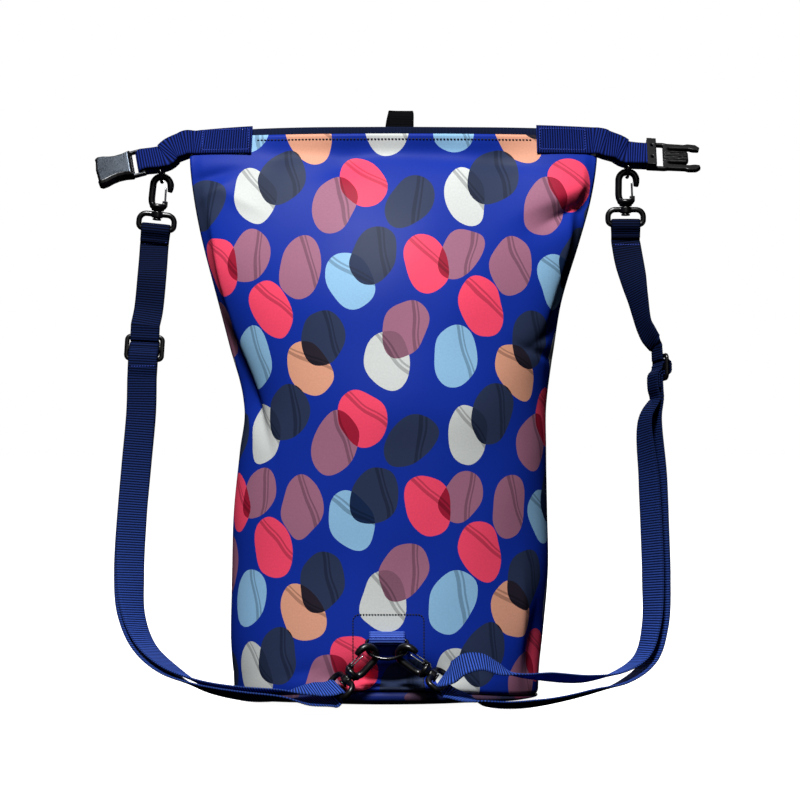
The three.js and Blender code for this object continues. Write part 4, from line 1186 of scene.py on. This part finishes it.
# %% Rows of the shoulder straps: place, facing and gap
LEFT_SINGLE = [
    (-199.5, -3, 355, 0, -1, 0, 0),
    (-202, -7, 325, 0, -1, 0, 0),
]
LEFT_DOUBLE = [
    (-206.7, -20, 240, 0, -1, 0, 4),
    (-210, -26, 195, 0.05, -1, 0, 4.5),
    (-213, -34, 150, 0.15, -0.98, 0.05, 5),
    (-214, -43, 108, 0.35, -0.88, 0.25, 5),
    (-211, -54, 75, 0.58, -0.55, 0.55, 5),
    (-199.5, -68, 50.5, 0.55, -0.3, 0.78, 5),
    (-179, -84, 34, 0.4, -0.1, 0.9, 5),
    (-151, -99, 22.5, 0.2, 0.3, 0.93, 3.6),
    (-114, -111, 17, 0, 0.42, 0.9, 4),
    (-86, -114, 16.5, -0.05, 0.25, 0.96, 5.4),
]
LEFT_UNDER = [(-66, -110, 11, -0.2, -0.2, 0.96, 0)]
LEFT_OVER = [(-68, -112.5, 20.2, -0.08, -0.15, 0.98, 0), (-57, -109.3, 20.4, -0.35, -0.42, 0.84, 0)]
RIGHT_SINGLE = [
    (201.5, 9, 368, -0.2, -0.97, 0, 0),
    (204.5, 1, 352, -0.5, -0.85, 0, 0),
    (207.5, -5, 336, -0.78, -0.63, 0, 0),
    (212.5, -11.5, 311, -0.93, -0.38, 0.05, 0),
    (216.8, -16, 302, -0.95, -0.32, 0.05, 0),
]
RIGHT_DOUBLE = [
    (215.6, -25, 234, -0.93, -0.36, 0, 9),
    (217, -33, 186, -0.8, -0.6, 0, 9),
    (218, -40, 142, -0.76, -0.65, 0, 8),
    (218.5, -46, 102, -0.76, -0.65, 0.05, 8),
    (217, -52, 66, -0.8, -0.5, 0.25, 8),
    (208.5, -59, 39.5, -0.74, -0.3, 0.6, 8),
    (188, -70, 25.5, -0.4, -0.02, 0.92, 9),
    (160, -82, 20, -0.15, 0.3, 0.94, 11),
    (124, -97, 19, 0, 0.36, 0.93, 21),
]
RIGHT_UNDER = [
    (94, -106, 7.5, 0.03, 0.34, 0.94, 0),
    (75, -109, 9.5, 0.1, 0.26, 0.96, 0),
    (62, -107, 12.5, 0.25, -0.1, 0.96, 0),
]
RIGHT_OVER = [
    (100, -105, 32, 0.1, 0.12, 0.98, 0),
    (86, -108, 37, 0.15, -0.3, 0.94, 0),
    (73, -111, 42.5, 0, -0.45, 0.89, 0),
    (60, -112, 41, -0.4, -0.55, 0.73, 0),
    (50.5, -108.5, 34, -0.65, -0.5, 0.55, 0),
]
STRAP_ROWS = {
    # above the adjuster, doubled below it, lower layer's end, upper layer's end, share of the turn
    "left": (LEFT_SINGLE, LEFT_DOUBLE, LEFT_UNDER, LEFT_OVER, 0.45),
    "right": (RIGHT_SINGLE, RIGHT_DOUBLE, RIGHT_UNDER, RIGHT_OVER, 0.3),
}
print("rows of the doubled straps:", len(LEFT_DOUBLE), "and", len(RIGHT_DOUBLE))

# %% Shoulder straps
STRAP_REACH = 7.5


def shoulder_strap(side, single, double, under, over_end, wrap):
    """Stations of one strap from its upper hook to its lower hook and back."""
    top, glide, lower = hooks["top_" + side], GLIDES[side], hooks["bottom_" + side]
    turn = EYE_ROD + 0.8 + WEB_THICK / 2
    hang = lace_frame(top["bar"], -top["a"], top["n"])
    over = {"o": top["bar"], "t": top["a"], "n": -top["n"], "w": hang["w"]}
    stations = lace(hang, [(11, 1.3), (8, 1.5), (5, 2.6), (2, turn)]) + half_turn(over, turn)
    stations += lace(hang, [(2, -turn), (5, -2.6), (9, -1), (14, -0.8)])
    running = lace(glide, GLIDE_RUNNING)
    first = run_row(stations[-1][0], top["n"], 0)
    last = run_row(running[0][0], glide["n"], 0)
    stations += layer(free_run([first] + single + [last], 24), 0)[1:-1] + running
    head = run_row(glide["o"] + glide["t"] * 26 + glide["n"] * 3.7, glide["n"], 2.6)
    arrive = lace_frame(lower["bar"], lower["a"], lower["n"])
    back = lower["bar"] - lower["a"] * STRAP_REACH
    ends = {-0.5: under + [run_row(back - lower["n"] * 3.4, lower["n"], 0)], 0.5: over_end}
    layers = {}
    for share, rows in ends.items():
        shifted = []
        for r in [head] + double:
            shifted.append(run_row(vec(*r[:3]) + unit(vec(*r[3:6])) * r[6] * share, r[3:6], 0))
        layers[share] = layer(free_run(shifted + rows, 84), 0)
    stations += layers[-0.5] + lace(arrive, [(-2, -turn)]) + half_turn(arrive, turn, wrap)
    return stations + layers[0.5][::-1] + lace(glide, GLIDE_SEWN)


straps = {}
for side, rows in STRAP_ROWS.items():
    stations = shoulder_strap(side, *rows)
    name = "strap_" + side
    straps[side] = lay_webbing(name + "_webbing", stations, WEBBING, name)
    places = np.array([s[0] for s in stations])
    print(name, "is", round(lengths(places)[-1]), "mm of webbing")

# %% [markdown]
# ## Roll-top straps
# A tab of the same webbing is sewn on each front corner of the mouth. It runs out to the buckle, turns
# round its bar, and comes back behind to be sewn down on the back. The D-ring hangs between its two
# layers. The table holds the middle line, and both layers follow it at half the gap.

# %% Roll-top straps
BUCKLE_BAR = 2
PIECE_GAP = 0.3
TAB_Z = 456
TAB_RISE = 12
TAB_OUT = 0.8
LEFT_FREE = [
    (-171.5, 10.4, 465.4, 0, -0.86, 0.5, 7.4),
    (-175.5, 10.9, 463.8, 0, -0.84, 0.54, 7.4),
    (-184, 11.3, 460, 0, -0.8, 0.6, 7.4),
    (-190.5, 10.7, 453.8, 0, -0.77, 0.64, 7.4),
    (-196, 10, 452.2, 0, -0.77, 0.64, 7.4),
]
RIGHT_FREE = [
    (177.5, 5, 466, 0, -0.93, 0.36, 7.4),
    (181.5, 5.5, 464.4, 0, -0.92, 0.4, 7.4),
    (192, 7.6, 461, 0, -0.85, 0.52, 7.4),
    (198.5, 8.8, 457, 0, -0.8, 0.6, 7.4),
    (204, 9.1, 456, 0, -0.78, 0.62, 7.4),
]
BARS = {
    "left": lace_frame((-209, 8, 450), (-0.97, 0, -0.25), (0, -0.75, 0.66)),
    "right": lace_frame((218, 8, 455), (0.995, 0, -0.05), (0, -0.75, 0.66)),
}


def tab_station(x, side):
    """Place of the tab on the wall near the mouth, and its direction across."""
    low = vec(x, wall_y(x, TAB_Z, side), TAB_Z)
    high = vec(x, wall_y(x, MOUTH_Z, side), MOUTH_Z)
    w = unit(high - low)
    out = vec(0, side * w[2], -side * w[1])
    return low + w * TAB_RISE + out * (PIECE_GAP + TAB_OUT + WEB_THICK / 2), w


def upright(stations):
    return [(p, w if w[2] > 0 else -w) for p, w in stations]


def roll_strap(start, end, free, bar):
    turn = BUCKLE_BAR + 1 + WEB_THICK / 2
    front = [tab_station(x, -1) for x in np.linspace(start, end, 13)]
    back = [tab_station(start + (end - start) * share, 1) for share in np.linspace(0.72, 1, 5)]
    a, b = front[-1][0], back[-1][0]
    head = run_row((a + b) / 2, unit(a - b), np.linalg.norm(a - b))
    tail = run_row(bar["o"] - bar["t"] * 3, bar["n"], 2 * turn)
    run = free_run([head] + free + [tail], 28)
    turned_over = {**bar, "n": -bar["n"]}
    stations = front + upright(layer(run, 0.5)[3:]) + upright(half_turn(turned_over, turn))
    return stations + upright(layer(run, -0.5)[:2:-1]) + back[::-1]


tabs = {}
for side, rows in (("left", (-116, -165, LEFT_FREE)), ("right", (123, 171, RIGHT_FREE))):
    stations = roll_strap(*rows, BARS[side])
    name = "roll_strap_" + side
    tabs[side] = lay_webbing(name + "_webbing", stations, TAB_WEBBING_LIT_COPY, name)
print("roll-top straps:", ", ".join(tabs))

# %% [markdown]
# ## Mouth band and loops
# A stiff navy tape lies inside the front of the mouth and shows a few millimetres above the cloth. A
# short loop of webbing holds the D-ring at the foot, and a black loop behind the mouth hangs the bag
# up. All three are bands of webbing along a line, so they need no shapes of their own.

# %% Band, ring loop and hanging loop
BAND_THICK = 1.2
BAND_IN = 1.8
BAND_Z = 455
BAND_RISE = 10.5
HANG_X = 9.5
HANG_RUN = [
    # across, out of the back, height
    (0, 1.8, 450), (0, 2.6, 461), (0, 1.8, 472), (0, 3, 485), (0, 5, 491.5), (-0.5, 8, 494),
    (-1, 11, 491.5), (-2.5, 12.4, 485), (-4, 11, 472), (-5, 7.4, 461), (-5, 5.6, 454), (-5, 5.4, 448),
]
band_line = []
for x in np.linspace(-132, 136, 60):
    low = vec(x, wall_y(x, BAND_Z, -1, WALL) + BAND_IN + BAND_THICK / 2, BAND_Z)
    high = vec(x, wall_y(x, MOUTH_Z, -1, WALL) + PIECE_GAP + BAND_THICK / 2, MOUTH_Z)
    w = unit(high - low)
    band_line.append((low + w * BAND_RISE, w))
lay_webbing("band", band_line, BAND, "mouth_band", BAND_WIDTH, BAND_THICK, BAND_PITCH)
loop_frame = lace_frame(foot_bar, (0, 0, -1), (0, -1, 0))
loop_line = lace(loop_frame, [(-6.5, -3.5), (-2, -3.3)])
loop_line += half_turn(loop_frame, RING_ROD + 0.5 + WEB_THICK / 2)
loop_line += lace(loop_frame, [(-2, 2.6), (-4.2, 0.6), (-6.5, -1.5)])
foot_loop = lay_webbing("foot_loop", loop_line, FOOT_WEBBING_LIT_COPY, "ring_loop", FOOT_LOOP_WIDTH)
hang_line = []
for across, out, z in HANG_RUN:
    x = HANG_X + across
    hang_line.append((vec(x, wall_y(x, min(z, MOUTH_Z), 1) + out, z), vec(1, 0, 0)))
lay_webbing("hanging_loop", hang_line, BLACK_WEBBING, "hang_loop", HANG_WIDTH)
print("band and loops are laid")

# %% [markdown]
# ## Side release buckle
# The two halves hang open at the ends of the mouth. Their solids hold the true fit of prongs and
# socket, so the looks start from copies of those solids and pass through the same merge and smoothing
# that the hooks have, which rounds every edge. The plug gets ridges on its tongue, and the socket's
# broad face is smoothed for longer. Both could be drawn anew, but then they might not fit each other.

# %% Buckle halves
def solid_mesh(node):
    """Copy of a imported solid's mesh, in the shared frame."""
    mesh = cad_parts[node].data.copy()
    mesh.transform(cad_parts[node].matrix_world)
    return mesh


def buckle_half(node, bar, ridges, voxel, rounds):
    """Buckle half from its solid, with ridges along it."""
    axes = (bar["o"], bar["t"], np.cross(bar["n"], bar["t"]), bar["n"])
    return fitting(node, ridges, axes, voxel, rounds, solids=[solid_mesh(node)])


PLUG_RIDGES = [block((19, 1.5, 1.8), (23, across, 2.5)) for across in (-4.2, 0, 4.2)]
socket = buckle_half("buckle_female", BARS["left"], [], 0.28, 14)
plug = buckle_half("buckle_male", BARS["right"], PLUG_RIDGES, 0.38, 4)
print("buckle halves:", len(socket.data.polygons), "and", len(plug.data.polygons), "faces")

# %% [markdown]
# ## Stitching
# Every seam is a row of short arches of thread that dip into the cloth at both ends. A ray from the
# front finds the cloth, so the stitches sit on its folds. Drawn lines would be quicker, but real arches
# catch the light and throw small shadows.

# %% Rows of stitches
STITCH_ARCH = (
    # share along the stitch, lift, thickness
    (0, -0.5, 0.6),
    (0.14, 0.3, 1),
    (0.5, 0.62, 1.1),
    (0.86, 0.3, 1),
    (1, -0.5, 0.6),
)
STITCH_SHOWS = 0.74
STITCH_LIFT = 1.4
STITCH_SIDES = 6


def caster(piece):
    """Finds the surface of a piece: place and normal under a point seen from the front."""
    vertices = [v.co[:] for v in piece.data.vertices]
    tree = BVHTree.FromPolygons(vertices, [p.vertices[:] for p in piece.data.polygons])

    def place(x, z):
        hit, normal, _, _ = tree.ray_cast(Vector((x, -400, z)) * MM, Vector((0, 1, 0)))
        if hit is None:
            return None
        normal = np.array(normal)
        return np.array(hit) / MM, normal if normal[1] < 0 else -normal

    return place


def stitch_run(corners, pitch, find):
    """Pairs of surface places along a line through corners (x, z), one pair to a stitch."""
    corners = np.array(corners, float)
    length = lengths(corners)
    marks = np.linspace(0, length[-1], max(int(round(length[-1] / pitch)), 1) + 1)
    x = np.interp(marks, length, corners[:, 0])
    z = np.interp(marks, length, corners[:, 1])
    found = [find(a, b) for a, b in zip(x, z)]
    return [(p, q) for p, q in zip(found, found[1:]) if p and q]


def sew(name, runs, radius, material):
    """One mesh of all the stitches of some runs, each a short closed arch of thread."""
    points = []
    faces = []
    for (p, normal_p), (q, normal_q) in runs:
        normal = unit(normal_p + normal_q)
        ahead = q - p
        side = unit(np.cross(normal, unit(ahead)))
        base = len(points)
        for share, lift, size in STITCH_ARCH:
            middle = p + ahead * (0.5 + (share - 0.5) * STITCH_SHOWS)
            middle = middle + normal * lift * radius * STITCH_LIFT
            for t in turns(STITCH_SIDES):
                points.append(middle + (side * math.cos(t) + normal * math.sin(t)) * radius * size)
        rings = np.array(points[base:]).reshape(len(STITCH_ARCH), STITCH_SIDES, 3)
        faces += grid(rings, np.zeros((6, 7, 2)), loop_columns=True, start=base)[0]
        faces.append(tuple(base + k for k in range(STITCH_SIDES))[::-1])
        faces.append(tuple(range(len(points) - STITCH_SIDES, len(points))))
    return new_piece(name, mesh_of(name, points, faces), material)


on_front = caster(front_wall)
HEM_Z = 467.6
STIFFENER = {"left": -29.4, "right": 27.6, "top": 77, "corner": 4.6, "foot": 19}
hem = stitch_run([(-112, HEM_Z), (119, HEM_Z)], 2.9, on_front)
left, right, top, corner = (STIFFENER[k] for k in ("left", "right", "top", "corner"))
bend = [(math.cos(t) * corner, math.sin(t) * corner) for t in np.linspace(0, np.pi / 2, 7)]
outline = [(left, STIFFENER["foot"])]
outline += [(left + corner - c, top - corner + s) for c, s in bend]
outline += [(right - corner + c, top - corner + s) for c, s in bend[::-1]]
outline += [(right, STIFFENER["foot"])]
foot_seam = stitch_run(outline, 2.35, on_front)
sew("stitches_wall", hem + foot_seam, 0.46, DARK_THREAD)
print("stitches on the wall:", len(hem) + len(foot_seam))

# %% Sewing of the webbing
WEB_STITCH = 2.2
TAB_LOW = 459.6
TAB_HIGH = 477.2


def box_lines(inner, outer):
    """Two lines across a tab and two along it."""
    lines = [[(x, TAB_LOW), (x, TAB_HIGH)] for x in (inner, outer)]
    return lines + [[(inner, z), (outer, z)] for z in (TAB_LOW, TAB_HIGH)]


SEWING = [
    (tabs["left"], box_lines(-118.5, -158)),
    (tabs["right"], box_lines(125.5, 164)),
    (straps["left"], [[(-208.5, 381.6), (-186, 382.4)], [(-215.5, 277.4), (-193, 277.9)]]),
    (straps["right"], [[(190, 380.8), (211, 380.8)]]),
]
sewn = []
for piece, lines in SEWING:
    find = caster(piece)
    for line in lines:
        sewn += stitch_run(line, WEB_STITCH, find)
zigzag = [(FOOT_X - 13 + 2 * i, FOOT_Z + 1.4 + 1.9 * (i % 2)) for i in range(14)]
sewn += stitch_run(zigzag, 2.7, caster(foot_loop))
sew("stitches_webbing", sewn, 0.4, BLUE_THREAD)
print("stitches on the webbing:", len(sewn))

# %% [markdown]
# ## Cloth facts
# The two wall panels are cut flat and then shaped by the seams. Their flat cloth coordinates keep the size
# of their cut, and a simulation could later start from those sizes.

# %% [markdown]
# ## Floor and light
# The bag stands on a sheet of white paper in a white room. A strong light hangs high in front, as in a
# product studio, so fittings throw short dark shadows. A wide one above lights the upper faces, and
# weak ones fill the front and the back. A small bluish one shines only on the socket's face, as if a
# flag kept it off the cloth. Paper and room are seen, but give no light, so the folds keep their dark
# sides.

# %% Paper
PAPER_HALF = 9000


def paper():
    edge = (-PAPER_HALF, PAPER_HALF)
    rows = np.array([[(x, y, 0) for x in edge] for y in edge])
    faces, _ = grid(rows, np.zeros((3, 3, 2)))
    sheet = bpy.data.objects.new("paper", mesh_of("paper", rows.reshape(-1, 3), faces))
    bpy.context.scene.collection.objects.link(sheet)
    finish = Finish("paper")
    tooth = finish.noise(finish.place(), 900.0)
    finish.set(Roughness=0.85 + tooth * 0.1, Base_Color=(0.9, 0.9, 0.9, 1))
    finish.set(Emission_Color=(1, 1, 1, 1), Emission_Strength=0.98)
    sheet.data.materials.append(finish.material)
    sheet.visible_diffuse = False
    sheet.visible_glossy = False
    sheet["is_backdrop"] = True


paper()
print("paper is down")

# %% Lights
LIGHTS = [
    # name, place, aim, size, watts, colour
    ("key_light", (-360, -1840, 2593), (0, -60, 230), (714, 544), 136, (1, 1, 1)),
    ("top_light", (-60, -150, 1450), (0, 0, 300), (900, 700), 1.4, (1, 1, 1)),
    ("strip_light", (-320, -20, 1290), (-225, 5, 445), (220, 200), 7, (0.66, 0.8, 1)),
    ("fill_light", (300, -1700, 620), (0, -60, 230), (700, 700), 1, (1, 1, 1)),
    ("back_light", (300, 1700, 1100), (0, 60, 250), (900, 900), 11, (1, 1, 1)),
]


def softbox(name, place, aim, size, power, colour):
    lamp = bpy.data.lights.new(name, "AREA")
    lamp.shape = "RECTANGLE"
    lamp.size, lamp.size_y = (s * MM for s in size)
    lamp.energy = power
    lamp.color = colour
    box = bpy.data.objects.new(name, lamp)
    box.location = Vector(place) * MM
    box.rotation_euler = (Vector(aim) - Vector(place)).to_track_quat("-Z", "Y").to_euler()
    bpy.context.scene.collection.objects.link(box)
    return box


lamps = {row[0]: softbox(*row) for row in LIGHTS}
only = bpy.data.collections.new("buckle")
only.objects.link(socket)
lamps["strip_light"].light_linking.receiver_collection = only
world = bpy.data.worlds.new("room")
bpy.context.scene.world = world
world.use_nodes = True
room = world.node_tree.nodes["Background"].inputs
room["Color"].default_value = (1, 1, 1, 1)
room["Strength"].default_value = 1
world.cycles_visibility.diffuse = False
world.cycles_visibility.glossy = False
bpy.context.scene.view_settings.view_transform = "Standard"
print("lights:", len(bpy.data.lights))

# %% [markdown]
# ## Sizes
# The looks may stand a little proud of the solids. Both boxes are printed.

# %% Print the boxes
boxes = {"cad": cad_box, "visual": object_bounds()}
boxes = {key: [[float(c) for c in corner] for corner in box] for key, box in boxes.items()}
print("boxes:", boxes)
